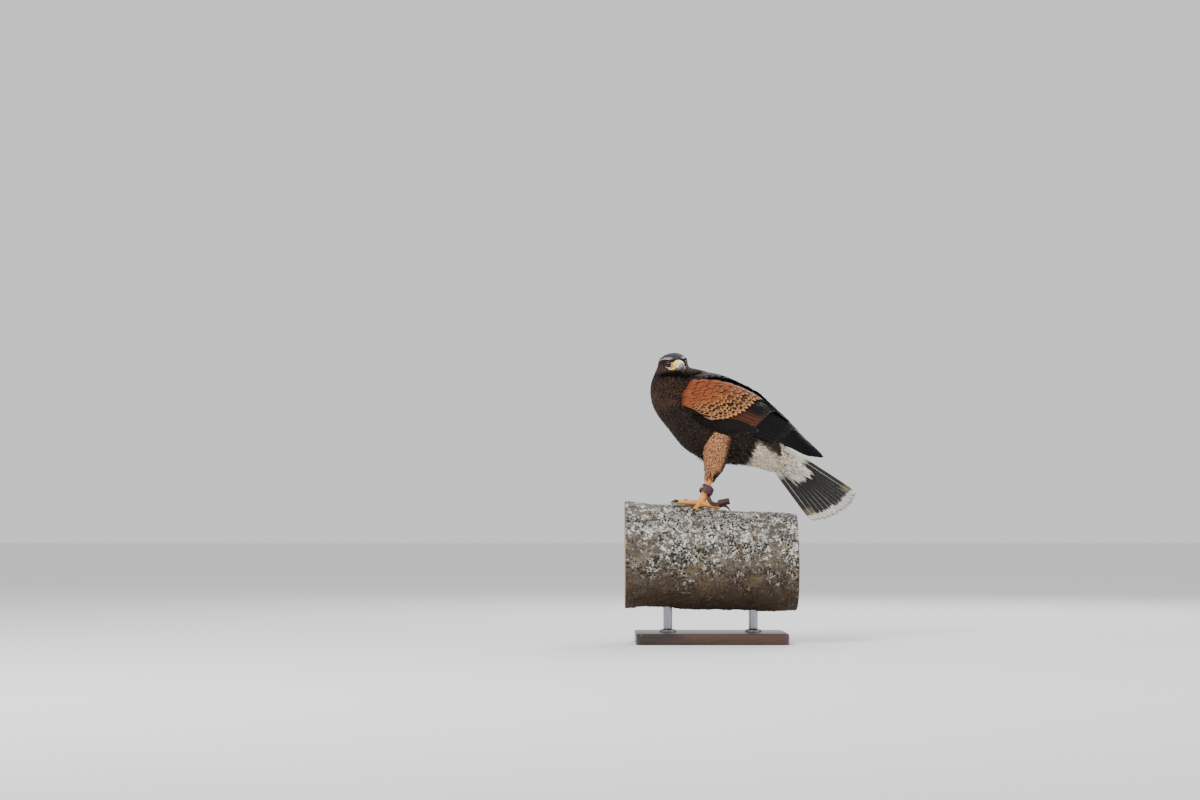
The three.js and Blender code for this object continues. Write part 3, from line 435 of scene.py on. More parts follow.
def table(rows, at):
    """The columns of a table read anywhere along its first one, on smooth cubic curves whose slope
    at each row is that between its two neighbours."""
    rows = np.array(rows, float)
    rows = rows[np.argsort(rows[:, 0])]
    key, values = rows[:, 0], rows[:, 1:]
    slope = np.gradient(values, axis=0)
    slope[1:-1] = (values[2:] - values[:-2]) / (key[2:] - key[:-2])[:, None]
    slope[[0, -1]] = (values[[1, -1]] - values[[0, -2]]) / (key[[1, -1]] - key[[0, -2]])[:, None]
    at = np.clip(np.asarray(at, float), key[0], key[-1])
    i = np.clip(np.searchsorted(key, at, side="right") - 1, 0, len(key) - 2)
    span = (key[i + 1] - key[i])[..., None]
    t = (at - key[i])[..., None] / span
    made = ((2 * t ** 3 - 3 * t ** 2 + 1) * values[i] + (t ** 3 - 2 * t ** 2 + t) * slope[i] * span
            + (3 * t ** 2 - 2 * t ** 3) * values[i + 1] + (t ** 3 - t ** 2) * slope[i + 1] * span)
    return [made[..., k] for k in range(made.shape[-1])]


# Torso sections, upright ellipses: x, bottom, top, half width
TORSO = [
    (103, 231, 237, 2), (99, 206, 254, 24), (87, 180, 267, 41), (60, 149, 276, 54), (25, 112, 277, 61),
    (-15, 95, 270, 65), (-60, 91, 257, 62), (-105, 88, 232, 53), (-140, 79, 200, 42), (-166, 73, 166, 31),
    (-181, 77, 136, 20), (-190, 88, 118, 11), (-193, 97, 108, 4),
]
# Neck sections, level circles: z, centre x and y, radius
NECK = [(168, 42, 0, 26), (200, 52, 0, 43), (232, 58, 1, 43.5), (248, 60, 0, 41.5), (261, 60, -1, 37.5),
        (272, 60, -4, 32), (282, 60, -7, 23), (288, 60, -8, 9)]
# Head sections in its own frame, x towards the bill: x, half width, reach up and down
HEAD = [(-30, 7, 7, 8), (-27, 17, 13, 16), (-18, 26.5, 19, 22), (-7, 30, 21.6, 24), (4, 27.6, 22.6, 25),
        (12, 22, 21.8, 23), (19, 17, 18.8, 19.6), (25, 12.6, 14, 15), (29, 9.4, 9, 11)]
HEAD_PLACE = np.array([61.0, 4.6, 283.3])
HEAD_TURN = turn_about(2, np.radians(82)) @ turn_about(1, np.radians(7)) @ turn_about(0, np.radians(5))
BROW = np.array([(-4, 25.6, 7), (5, 24, 10), (13, 18.6, 10.8), (20, 13.2, 9.4), (27, 8.6, 6.6)])
BROW_RADII = np.array([1.4, 2.7, 3.2, 2.8, 1.6])
EYE = {"place": np.array([14.6, 13.7, 1.2]), "radius": 8.2, "forward": np.radians(40)}


def from_head(points):
    """Points of the head's frame, in the hawk's."""
    return np.asarray(points) @ HEAD_TURN.T + HEAD_PLACE


def to_head(points):
    """Points of the hawk's frame, in the head's."""
    return (points - HEAD_PLACE) @ HEAD_TURN


def soft_union(first, second, reach):
    """The lower of two distances, rounded off where they are within the reach of each other."""
    share = np.clip(0.5 + 0.5 * (second - first) / reach, 0, 1)
    return second + (first - second) * share - reach * share * (1 - share)


def step(value, low, high):
    """Rises smoothly from 0 at low to 1 at high, or falls where high is the lower of the two."""
    share = np.clip((np.asarray(value) - low) / (high - low), 0, 1)
    return share * share * (3 - 2 * share)


def brow_distance(q):
    """Distance to the brow ridges: to the nearest stretch of a path, less its radius there."""
    q = q * [1, 0, 1] + np.abs(q) * [0, 1, 0]
    nearest = np.full(q.shape[:-1], 99.0)
    for a, b, ra, rb in zip(BROW[:-1], BROW[1:], BROW_RADII[:-1], BROW_RADII[1:]):
        t = np.clip((q - a) @ (b - a) / ((b - a) @ (b - a)), 0, 1)
        apart = np.linalg.norm(q - a - t[..., None] * (b - a), axis=-1)
        nearest = np.minimum(nearest, apart - ra - (rb - ra) * t)
    return nearest


def body_field(p):
    """About the distance from the body's surface, negative inside: for each part, how far a point is
    out of its section there, and the parts joined by soft unions."""
    x, y, z = np.moveaxis(p, -1, 0)
    bottom, top, wide = table(TORSO, x)
    tall = (top - bottom) / 2
    torso = (np.hypot(y / wide, (z - (top + bottom) / 2) / tall) - 1) * np.minimum(wide, tall)
    torso = np.maximum(torso, np.maximum(x - 103, -193 - x))
    centre_x, centre_y, radius = table(NECK, z)
    neck = np.maximum(np.hypot(x - centre_x, y - centre_y) - radius, np.maximum(z - 288, 168 - z))
    q = to_head(p)
    wide, up, low = table(HEAD, q[..., 0])
    tall = np.where(q[..., 2] > 0, up, low)
    head = (np.hypot(q[..., 1] / wide, q[..., 2] / tall) - 1) * np.minimum(wide, tall)
    head = np.maximum(head, np.maximum(q[..., 0] - 29, -30 - q[..., 0]))
    head = soft_union(head, brow_distance(q), 1.5)
    return soft_union(soft_union(head, neck, 7), torso, 9)


def slope_of(field, p):
    """The field's value, and its slope by differences over half a millimetre each way."""
    steps = np.eye(3) * 0.5
    slope = np.stack([field(p + s) - field(p - s) for s in steps], -1)
    return field(p), slope


def settle(field, p, level, tries=3):
    """Points moved straight in or out until the field has the level, and the way out there."""
    for _ in range(tries):
        value, slope = slope_of(field, p)
        size = np.sum(slope * slope, -1, keepdims=True) + 1e-6
        p = p + slope / size * np.clip(level - value, -4, 4)[..., None]
    return p, slope / np.linalg.norm(slope, axis=-1, keepdims=True).clip(1e-6)


def coat_depth(p):
    """How thick the plumage lies over the skin: thin on the face, deeper down the neck and body."""
    face = step(to_head(p)[..., 0], -14, 20) * step(p[..., 2], 262, 272)
    return (2.2 + 3.4 * (1 - step(p[..., 2] - 0.15 * np.abs(p[..., 0] - 60), 235, 275))) * (1 - 0.55 * face)


def body_rings(columns):
    """The skin as rings of points: level cones over the head, then planes that turn about a line
    behind the nape from level to upright, then upright planes to the tail. On every ray of a ring
    the skin is where the field first meets the coat's depth."""
    cone = np.radians(np.linspace(2, 88, 22))
    fan = np.radians(np.linspace(0, 90, 150) ** 1.25 / 90 ** 0.25)
    flat = np.linspace(-73, -193.5, 44)
    hub = np.array([-70.0, 0, 290])
    head_middle = np.array([60.0, 3, 290])
    zero = np.zeros
    centres = [np.tile(head_middle, (len(cone), 1)),
               hub + 130 * np.stack([np.cos(fan), zero(len(fan)), -np.sin(fan)], 1) + [0, 2, 0],
               np.stack([flat, zero(len(flat)), np.mean(table(TORSO, flat)[:2], 0)], 1)]
    back = [np.tile([-1.0, 0, 0], (len(cone), 1)),
            np.stack([-np.cos(fan), zero(len(fan)), np.sin(fan)], 1), np.tile([0, 0, 1.0], (len(flat), 1))]
    lean = np.concatenate([np.cos(cone), zero(len(fan) + len(flat))])
    centres, back = np.concatenate(centres), np.concatenate(back)
    turn = circle(columns)
    out = (np.cos(turn)[:, None] * np.array([0, 1.0, 0]) + np.sin(turn)[:, None] * back[:, None])
    out = out * np.sqrt(1 - lean ** 2)[:, None, None] + lean[:, None, None] * [0, 0, 1.0]

    def height(reach):
        p = centres[:, None] + out * reach[..., None]
        return body_field(p) + coat_depth(p)

    low = np.zeros(out.shape[:2])
    high = np.zeros(out.shape[:2])
    found = np.zeros(out.shape[:2], bool)
    for reach in np.linspace(3, 129, 43):
        outside = (height(high * 0 + reach) > 0) & ~found
        high[outside] = reach
        found |= outside
        low[~found] = reach
    for _ in range(12):
        halfway = (low + high) / 2
        outside = height(halfway) > 0
        high = np.where(outside, halfway, high)
        low = np.where(outside, low, halfway)
    return centres[:, None] + out * high[..., None]


def tone(red, green, blue):
    """A colour as an array of its three linear values."""
    return np.array(colour(red, green, blue)[:3])


def mix(first, second, share):
    """The first where the share is 0 and the second where it is 1."""
    return first + (second - first) * share


def body_marks(p):
    """Plumage colours by place, as base and edge: black-brown, painted bluish-grey sheen on the crown,
    browner on cheeks and breast, cream on the vent and round the tail's root, with soft random changes."""
    q = to_head(p)
    x, y, z = np.moveaxis(p, -1, 0)
    wander = noise(p, 16, 21) * 0.6 + noise(p, 6, 22) * 0.4

    def lay(base, paint, share):
        return mix(base, paint, share[..., None])

    base = np.zeros(p.shape) + tone(35, 28, 25)
    edge = np.zeros(p.shape) + tone(72, 60, 52)
    base = lay(base, tone(58, 42, 32), step(wander, 0.05, 0.5) * 0.8)
    breast = step(x, 20, 60) * step(z, 190, 215) * step(285 - z, 20, 40)
    base = lay(base, tone(70, 50, 40), breast * step(wander, -0.1, 0.5) * 0.7)
    edge = lay(edge, tone(104, 76, 60), breast * 0.8)
    head = step(z, 262, 270) * step(60 - np.linalg.norm(p - HEAD_PLACE, axis=-1), 10, 20)
    cheek = head * step(-q[..., 2], -8, 4)
    base = lay(base, tone(62, 47, 41), cheek * 0.8)
    edge = lay(edge, tone(120, 98, 88), cheek * 0.8)
    # Painted sheen: the top of the head turns bluish grey, base and edge.
    crown = head * step(q[..., 2], 8, 15)
    base = lay(base, tone(58, 60, 68), crown)
    edge = lay(edge, tone(118, 122, 134), crown)
    ridge = np.interp(q[..., 0], [-16, -10, -4, 5, 13, 24], [1.5, 4.5, 8.5, 12.2, 13.4, 12.6])
    brow = head * step(-np.abs(q[..., 2] - ridge), -2.3, -1.0) * step(q[..., 0], -16, -8)
    brow = brow * step(23 - q[..., 0], 0, 4) * step(np.abs(q[..., 1]), 6, 9)
    base = lay(base, tone(206, 168, 152), brow)
    edge = lay(edge, tone(236, 208, 194), brow)
    nape = step(-q[..., 0], 8, 20) * head
    base = lay(base, tone(48, 38, 33), nape * 0.7)
    mantle = step(z, 225, 245) * step(40 - x, 0, 20)
    edge = lay(edge, tone(112, 94, 82), mantle * 0.9)
    vent = step(-x + 5 * wander, 92, 102) * step(186 + 0.5 * x - z, -6, 18)
    vent = np.maximum(vent, step(-x, 158, 168))
    cream = mix(tone(228, 204, 172), tone(244, 226, 200), step(wander, -0.4, 0.4)[..., None])
    base = lay(base, cream, vent)
    edge = lay(edge, tone(248, 232, 208), vent)
    return base, edge


def stored(tree, name):
    """A colour stored on the piece's points."""
    return add_node(tree, "Attribute", {"attribute_name": name}).outputs["Color"]


COLUMNS = 180
skin_rings = body_rings(COLUMNS)
skin_finish, tree, shader = new_material("hawk_skin", 0.85, Specular_IOR_Level=0.2)
painted = stored(tree, "tint")
mottle = object_noise(tree, 260, 4, 0.7)
set_base(shader, blend(tree, ramp(tree, mottle, 0.35, 0.75, 0, 0.5), painted, colour(20, 16, 15)))
add_bump(tree, shader, mottle, 0.0012, 0.6)

surface = loft(skin_rings)


def paint_points(made, name, tints):
    """Stores one colour for each point of a piece's mesh."""
    layer = made.data.attributes.new(name, "FLOAT_COLOR", "POINT")
    tints = np.concatenate([tints, np.ones((len(tints), 4 - tints.shape[1]))], 1)
    layer.data.foreach_set("color", np.ascontiguousarray(tints, np.float32).ravel())


skin = add_part("body_skin", surface, "dark_plumage", skin_finish, ["torso", "neck", "head"])
skin_tint = body_marks(surface[0])[0] * 0.8
x, aside, z = to_head(surface[0]).T
lores = step(x, 12.5, 15.5) * step(-z, -7.5, -4.5) * step(z, -11, -8.5) * step(23 - np.abs(aside), 3, 6)
peach = tone(232, 186, 132) + 0.05 * noise(surface[0], 3, 61)[:, None]
paint_points(skin, "tint", mix(skin_tint, peach, lores[:, None]))


# Body plumage: thousands of contour feathers, each a closed thin leaf. They point away from the
# bill over the head, down the neck and back to the tail's root, and overlap like shingles.

def spread(weight, count, seed=0):
    """Places spread evenly over a grid by weight, as fractions of its rows and columns. An even
    two-way sequence of golden steps is carried through the running sums of the weight."""
    k = np.arange(count) + 0.5 + seed * 977
    u, v = (k * 0.7548776662) % 1, (k * 0.5698402910) % 1
    rows = np.concatenate([[0], np.cumsum(weight.sum(1))])
    row = np.interp(u, rows / rows[-1], np.arange(len(rows)))
    sums = np.concatenate([np.zeros((len(weight), 1)), np.cumsum(weight, 1)], 1)
    sums /= sums[:, -1:].clip(1e-9)
    i = np.minimum(row.astype(int), len(weight) - 1)
    column = (sums[i] < v[:, None]).sum(1).clip(1, weight.shape[1])
    below, above = sums[i, column - 1], sums[i, column]
    return row, column - 1 + (v - below) / (above - below).clip(1e-9)


def chance(count, seed, low=0.0, high=1.0):
    """A seeded random number for each feather."""
    return np.random.default_rng(seed).uniform(low, high, count)


def unit(v):
    """Vectors brought to length one."""
    return v / np.linalg.norm(v, axis=-1, keepdims=True).clip(1e-9)


def lay_lines(field, lie, roots, length, levels):
    """Middle lines of feathers that follow a surface: from its root each goes on by equal steps along
    the lie, laid in the surface, and is settled at the level given for the step."""
    rows = levels.shape[1]
    p, out = settle(field, roots, levels[:, 0])
    line, ups = [p], [out]
    heading = None
    for i in range(1, rows):
        way = lie(p)
        way = unit(way - np.sum(way * out, -1, keepdims=True) * out)
        heading = way if heading is None else unit(heading * 0.6 + way * 0.4)
        p, out = settle(field, p + heading * (length / (rows - 1))[:, None], levels[:, i], 2)
        line.append(p)
        ups.append(out)
    return np.stack(line, 1), np.stack(ups, 1)


def leaves(line, out, half, columns, thickness, camber=0.15, ragged=0.0, lean=0.0, seed=1):
    """Feathers as closed leaves, all at once. A point of the upper face is on the middle line, plus
    its share w from -1 to 1 of the half width across, less camber times w squared, plus lean times w.
    Towards the tip random columns are drawn back, which splits the edge. The lower face is in by the
    thickness and shares the upper one's border. Returns points, faces, and each point's share along
    and across."""
    count, rows = line.shape[:2]
    w = np.linspace(-1, 1, columns)
    s = np.linspace(0, 1, rows)
    ahead = unit(np.gradient(line, axis=1))
    side = unit(np.cross(out, ahead))
    upper = line[:, :, None] + side[:, :, None] * (half[..., None] * w)[..., None]
    tilt = np.reshape(lean, (-1, 1, 1)) * w - camber * w ** 2
    upper = upper + out[:, :, None] * (half[..., None] * tilt)[..., None]
    length = np.linalg.norm(np.diff(line, axis=1), axis=-1).sum(1)
    pulled = np.random.default_rng(seed).uniform(0, 1, (count, 1, columns)) * np.reshape(ragged, (-1, 1, 1))
    pulled = pulled * np.clip((s - 0.45) / 0.55, 0, 1)[None, :, None] ** 1.5 * length[:, None, None]
    upper = upper - ahead[:, :, None] * pulled[..., None]
    lower = upper - out[:, :, None] * (thickness * (1 - w ** 2))[None, None, :, None]
    inner = lower[:, 1:-1, 1:-1].reshape(count, -1, 3)
    points = np.concatenate([upper.reshape(count, -1, 3), inner], 1)
    own = np.arange(rows * columns).reshape(rows, columns)
    under = own.copy()
    under[1:-1, 1:-1] = rows * columns + np.arange((rows - 2) * (columns - 2)).reshape(rows - 2, -1)
    quads = grid_faces(rows, columns)
    faces = np.concatenate([quads, under.ravel()[quads][:, ::-1]])
    per_leaf = points.shape[1]
    faces = (faces + (np.arange(count) * per_leaf)[:, None, None]).reshape(-1, 4)
    share = np.stack(np.broadcast_arrays(s[:, None], (w + 1) / 2), -1)
    share = np.concatenate([share.reshape(-1, 2), share[1:-1, 1:-1].reshape(-1, 2)])
    return points, faces, share


def join(*coats):
    """Several sets of leaves put in one, with their colours and places."""
    points, faces, shares, made = [], [], [], 0
    for coat in coats:
        count, per_leaf = coat["leaves"][0].shape[:2]
        points.append(coat["leaves"][0].reshape(-1, 3))
        faces.append(coat["leaves"][1] + made)
        shares.append(np.tile(coat["leaves"][2], (count, 1)))
        made += count * per_leaf
    merged = {"points": np.concatenate(points), "faces": np.concatenate(faces),
              "share": np.concatenate(shares)}
    for key in ("tint", "rim", "place"):
        each = [np.repeat(coat[key], coat["leaves"][0].shape[1], 0) for coat in coats]
        merged[key] = np.concatenate(each)
    return merged


BAKE_PATCH = 0.003


def add_coat(name, slot, finish, *coats, replaces=()):
    """One piece of plumage from sets of leaves. Each leaf keeps its base colour, its edge colour with
    the edge's width as a fourth value, a map along and across itself, and a bake map that gives it
    a small patch at its root's place on the unwrapped skin."""
    coat = join(*coats)
    made = add_piece(name, (on_limb(coat["points"]), [coat["faces"]]), slot, finish, replaces=replaces)
    paint_points(made, "tint", coat["tint"])
    paint_points(made, "rim", coat["rim"])
    corners = coat["faces"].ravel()
    own = made.data.uv_layers.new(name="vane")
    own.uv.foreach_set("vector", coat["share"][corners].astype(np.float32).ravel())
    bake = made.data.uv_layers.new(name="OFBake")
    patch = coat["place"] + BAKE_PATCH * (coat["share"] - 0.5)
    bake.uv.foreach_set("vector", patch[corners].astype(np.float32).ravel())
    return made


def from_shaft(tree, across):
    """How far a place lies from the feather's shaft, 0 on it and 1 at its edges: the size of 2v - 1."""
    doubled = maths(tree, "MULTIPLY", across, 2.0)
    return maths(tree, "ABSOLUTE", maths(tree, "SUBTRACT", doubled, 1.0))


def feather_finish(name, barbs, roughness=0.55, shaft=0.0, shaft_tint=None, gloss=0.25,
                   dark=colour(16, 13, 12)):
    """Feather: its base colour runs to its edge colour near the border and tip, fine slanting barbs
    show as lines of relief and tone, painted shade darkens it towards the root, and a shaft may run down the
    middle."""
    material, tree, shader = new_material(name, roughness, Specular_IOR_Level=gloss)
    tint = stored(tree, "tint")
    rim = add_node(tree, "Attribute", {"attribute_name": "rim"})
    vane = add_node(tree, "UVMap", {"uv_map": "vane"}).outputs[0]
    parts = add_node(tree, "SeparateXYZ", Vector=vane)
    s = parts.outputs["X"]
    off = from_shaft(tree, parts.outputs["Y"])
    grain = object_noise(tree, 420, 3, 0.7)
    border = maths(tree, "MAXIMUM", maths(tree, "MULTIPLY", off, ramp(tree, s, 0.15, 0.6, 0.6, 0.97)), s)
    border = maths(tree, "ADD", border, maths(tree, "MULTIPLY", maths(tree, "SUBTRACT", grain, 0.5), 0.12))
    begin = maths(tree, "SUBTRACT", 1.0, rim.outputs["Alpha"])
    shown = maths(tree, "DIVIDE", maths(tree, "SUBTRACT", border, begin), 0.08)
    shown = ramp(tree, shown, -0.5, 0.5)
    mixed = blend(tree, shown, tint, rim.outputs["Color"])
    drawn_back = maths(tree, "MULTIPLY", off, barbs * 0.35)
    slant = maths(tree, "SUBTRACT", maths(tree, "MULTIPLY", s, barbs), drawn_back)
    lines = maths(tree, "SINE", maths(tree, "ADD", slant, maths(tree, "MULTIPLY", grain, 5.0)))
    mixed = blend(tree, ramp(tree, lines, -1, 1, 0.30, 0.0), mixed, dark)
    # Painted shade: darker towards the root, which the next feathers overlap.
    mixed = blend(tree, ramp(tree, s, 0.05, 0.5, 0.5, 0.0), mixed, dark)
    if shaft:
        line = ramp(tree, off, shaft * 0.6, shaft, 1, 0)
        mixed = blend(tree, line, mixed, shaft_tint)
    set_base(shader, mixed)
    add_bump(tree, shader, lines, 0.00015, 0.45)
    return material


def body_lie(p):
    """Where the body feathers point: away from the bill, down the neck, then to the tail's root."""
    bill = from_head([36.0, 0, -3])
    head = step(p[..., 2], 252, 276) * step(60 - np.linalg.norm(p - HEAD_PLACE, axis=-1), 8, 22)
    torso = np.maximum(step(245 - p[..., 2], 0, 45), step(25 - p[..., 0], 0, 40))
    to_tail = unit(np.array([-215.0, 0, 88]) - p)
    down = np.array([-0.3, 0, -1.0])
    way = to_tail * torso[..., None] + down * (1 - torso[..., None])
    return unit(p - bill) * head[..., None] + way * (1 - head[..., None])


def grid_point(grid, row, column):
    """A point between the points of a grid that is closed round."""
    i = np.minimum(row.astype(int), len(grid) - 2)
    j = column.astype(int) % grid.shape[1]
    a, b = (row - i)[:, None], (column - column.astype(int))[:, None]
    k = (j + 1) % grid.shape[1]
    return ((grid[i, j] * (1 - b) + grid[i, k] * b) * (1 - a)
            + (grid[i + 1, j] * (1 - b) + grid[i + 1, k] * b) * a)


def cell_areas(grid):
    """Area of each cell of a grid closed round: half the cross product of its two diagonals."""
    following = np.roll(grid, -1, axis=1)
    return np.linalg.norm(np.cross(following[1:] - grid[:-1], grid[1:] - following[:-1]), axis=-1) / 2


# The yellow edge of the mouth, in the head's frame: x, half width apart, z, radius
GAPE = [(31, 6.6, -4.8, 1.7), (25, 10.2, -7.5, 2.5), (18, 15.1, -10.2, 2.4), (12, 18.9, -11.8, 2.0),
        (8, 21.2, -12.4, 1.2)]


def bare_face(q):
    """Where the head has no feathers: under the cere, along the gape, on the lids, and on the lores
    between eye and bill, which reach forward under the brow."""
    x, a, z = q[..., 0], np.abs(q[..., 1]), q[..., 2]
    apart = np.stack([x, a, z], -1) - EYE["place"]
    sideways = apart @ [np.cos(EYE["forward"]), -np.sin(EYE["forward"]), 0]
    lid = (sideways / 9.0) ** 2 + (z - 0.6 - EYE["place"][2]) ** 2 / np.where(z > 2, 6.2, 8.0) ** 2 < 1
    lid = lid & (np.linalg.norm(apart, axis=-1) < 13)
    bill = (x > 23.5) & (a < 9.4) & (z < 9.6) & (z > -7)
    lores = (x > 14.5) & (z < 5.5 - 0.1 * (22 - x) ** 2 * (x < 22)) & (z > -8.5) & (a < 16.5)
    reach = table([row[:3] for row in GAPE], x)
    gape = (x > 8) & (np.hypot(a - reach[0], z - reach[1]) < 2.4)
    return lid | bill | lores | gape


def edged(paint, width):
    """Edge colours, one row for each feather, with the edge's width as a fourth value."""
    return np.concatenate([np.broadcast_to(paint, (len(width), 3)), width[:, None]], 1)


def even(size):
    """The same size at every place."""
    return lambda p: size + 0 * p[..., 0]


def body_coat(count, where, length, width, columns, rows, seed, ragged=0.12, rise=3.2, turn=0.2):
    """A set of body feathers spread over the skin where the weight says, each with its colours."""
    middles = (skin_rings[:-1] + skin_rings[1:]) / 2
    row, column = spread(cell_areas(skin_rings) * where(middles), count, seed)
    roots = grid_point(skin_rings, row, column)
    keep = ~bare_face(to_head(roots))
    roots, row, column = roots[keep], row[keep], column[keep]
    count = len(roots)
    scale = chance(count, seed + 1, 0.85, 1.15)
    size, wide = length(roots) * scale, width(roots) * scale
    depth = coat_depth(roots)[:, None]
    s = np.linspace(0, 1, rows)
    levels = -depth - 0.4 + (depth + chance(count, seed + 2, 0, 0.9)[:, None]) * s ** 0.8 * (rise / 3.2)
    swing = chance(count, seed + 3, -turn, turn)[:, None]

    def lie(p):
        way = body_lie(p)
        out = unit(slope_of(body_field, p)[1])
        return way + np.cross(out, way) * swing

    line, out = lay_lines(body_field, lie, roots, size, levels)
    profile = np.interp(s, [0, 0.25, 0.6, 0.85, 1], [0.5, 0.9, 1, 0.74, 0.16])
    made = leaves(line, out, wide[:, None] * profile, columns, 0.35, 0.2, ragged, seed=seed + 4)
    tint, rim = body_marks(line[:, rows // 2])
    shade = chance(count, seed + 5, 0.72, 1.22)[:, None]
    rim = edged(rim * shade, 0.1 + 0.08 * chance(count, seed + 6))
    place = np.stack([column / COLUMNS, row / len(skin_rings)], 1)
    return {"leaves": made, "tint": tint * shade, "rim": rim, "place": place}


def on_head(p):
    """One over the head and none below it."""
    return step(p[..., 2] - 0.12 * np.abs(p[..., 0] - 60), 250, 262)


body_finish = feather_finish("contour_feather", 110.0, 0.65, gloss=0.14)


def head_size(p):
    """Feather length on the head: very short by the bill, longer to the nape."""
    return 2.9 + 7.6 * step(30 - to_head(p)[..., 0], 4, 52)


def torso_size(p):
    """Feather length below the head: longer down the neck, on the back and towards the tail."""
    return 12 + 10 * step(262 - p[..., 2], 0, 50) + 6 * step(-p[..., 0], 20, 110)


head_coat = body_coat(7600, lambda p: on_head(p) * (0.4 + 2.6 * step(to_head(p)[..., 0], -22, 18)), head_size,
                      lambda p: 0.17 * head_size(p) + 0.3, 3, 4, 11, 0.1)
add_coat("head_plumage", "dark_plumage", body_finish, head_coat)
upper_coat = body_coat(3400, lambda p: (1 - on_head(p)) * step(p[..., 0], 5, 25), torso_size,
                       lambda p: 0.2 * torso_size(p) + 0.6, 5, 5, 31, 0.16)
add_coat("breast_plumage", "dark_plumage", body_finish, upper_coat)


def on_vent(p):
    """One on the cream part round the vent and the tail's root, none elsewhere."""
    return np.maximum(step(-p[..., 0], 94, 100) * step(180 + 0.5 * p[..., 0] - p[..., 2], -4, 14),
                      step(-p[..., 0], 158, 166))


def on_back(p):
    """One behind the breast, on back and belly, and none on the head and the vent."""
    return (1 - on_head(p)) * step(-p[..., 0], -25, -5) * (1 - on_vent(p))


def on_hem(p):
    """One low on the belly, behind the breast."""
    return step(-p[..., 0], -30, 0) * step(-p[..., 0], 104, 86) * step(126 - p[..., 2], 0, 20)


lower_coat = body_coat(3300, on_back, torso_size, lambda p: 0.2 * torso_size(p) + 0.4, 5, 5, 51, 0.22)
hem_coat = body_coat(420, on_hem, even(30), even(3.4), 5, 6, 61, 0.4, 6.0, 0.3)
add_coat("back_and_belly_plumage", "dark_plumage", body_finish, lower_coat, hem_coat)
down_finish = feather_finish("vent_down", 110.0, 0.8, gloss=0.15, dark=colour(222, 196, 160))
vent_coat = body_coat(2000, on_vent, even(24), even(2.7), 5, 6, 71, 0.3, 4.4, 0.22)
add_coat("vent_plumage", "tail_plumage", down_finish, vent_coat)


# Wings: both folded against the body. A thin bed of flesh carries the feathers in tiers, from the
# small coverts of the shoulder to the long primaries, each tier over the roots of the next.

# Sections of the folded wing's outside, upright ellipses: x, centre height, half width, half height
WING = [(72, 206, 55, 44), (45, 203, 65, 64), (0, 190, 73, 82), (-50, 176, 72, 86), (-110, 160, 62, 76),
        (-180, 137, 45, 54), (-235, 112, 33, 35), (-285, 92, 24, 24)]
WING_COLUMNS = 40


def wing_point(x, turn, lift):
    """A point of the left wing's outside at x and a turn above level, lifted off it."""
    centre, wide, tall = table(WING, x)
    rise = (tall + lift) * np.sin(turn)
    return np.stack(np.broadcast_arrays(x, (wide + lift) * np.cos(turn), centre + rise), -1)


def bed_top(x):
    """Depth of the wing's flesh under its outside: nearly level with it in front, deeper behind."""
    return -0.9 - 6 * np.clip((60 - x) / 215, 0, 1)


def bed_edges(x):
    """Lowest and highest turn that the flesh reaches at x."""
    low = np.radians(-24 + 12 * np.clip((60 - x) / 210, 0, 1))
    return low, np.radians(table([(70, 18), (45, 42), (0, 62), (-60, 74), (-150, 72)], x)[0])


def wing_bed():
    """Rings along the wing: out along its outer face and back along its inner, thin at both edges."""
    x = np.linspace(69, -146, 44)[:, None]
    around = circle(WING_COLUMNS)
    low, high = bed_edges(x)
    taper = np.clip(1 - np.abs(np.linspace(-1, 1, 44))[:, None] ** 8, 0.12, 1)
    turn = (low + high) / 2 + (high - low) / 2 * np.cos(around) * taper
    thick = (14 - 9 * np.clip((60 - x) / 210, 0, 1)) * taper
    return wing_point(x, turn, bed_top(x) - thick * (0.5 - 0.5 * np.sin(around)))


def far_side(points):
    """A left wing's points as the right wing's: mirrored, and turned up a little at the rear."""
    raised = (points * [1, -1, 1] - [60, 0, 200]) @ turn_about(1, np.radians(2.5)).T
    return raised + [60, 0, 200]


def wing_tier(count, roots, tips, lift, half, seed, columns=5, rows=6, bow=0, lean=-0.12, ragged=0.05,
              blunt=0.35, tint=None, rim=None, stray=1.6):
    """Feathers side by side from the lowest to the highest. Roots and tips are places (x, degrees)
    as functions of the share up the tier. Each middle line runs straight between them on the wing's
    outside, and rises from its root lift to its tip lift."""
    k = np.arange(count)
    t = k / (count - 1)
    root, tip = np.array(roots(t)), np.array(tips(t))
    tip[0] += chance(count, seed, -stray, stray)
    tip[1] += chance(count, seed + 1, -0.5, 0.5) * stray
    s = np.sin(np.linspace(0, np.pi / 2, rows))
    x = root[0][:, None] + (tip[0] - root[0])[:, None] * s
    turn = np.radians(root[1][:, None] + (tip[1] - root[1])[:, None] * s + bow * np.sin(np.pi * s))
    levels = np.array([np.broadcast_to(value, count) for value in lift(t)])
    height = levels[0][:, None] + (levels[1] - levels[0])[:, None] * np.minimum(1, 1.4 * s)
    line = wing_point(x, turn, height)
    out = unit(wing_point(x, turn, height + 1) - line)
    wide = np.broadcast_to(half(t) if callable(half) else half, count) * chance(count, seed + 2, 0.94, 1.06)
    profile = np.minimum(1, 0.5 + 2 * s) * np.sqrt(1 - np.clip((s - 1 + blunt) / blunt, 0, 0.985) ** 2.2)
    made = leaves(line, out, wide[:, None] * profile, columns, 0.5, 0.09, ragged, seed=seed + 3, lean=lean)
    shade = chance(count, seed + 4, 0.86, 1.12)[:, None]
    low, high = bed_edges(x[:, 0])
    around = 0.5 - 0.48 * np.cos(np.pi * (turn[:, 0] - low) / (high - low))
    place = np.stack([around, (69 - x[:, 0]) / 420], 1)
    return {"leaves": made, "tint": tint(t) * shade, "rim": rim(t),
            "place": place.clip(0.01, 0.99)}


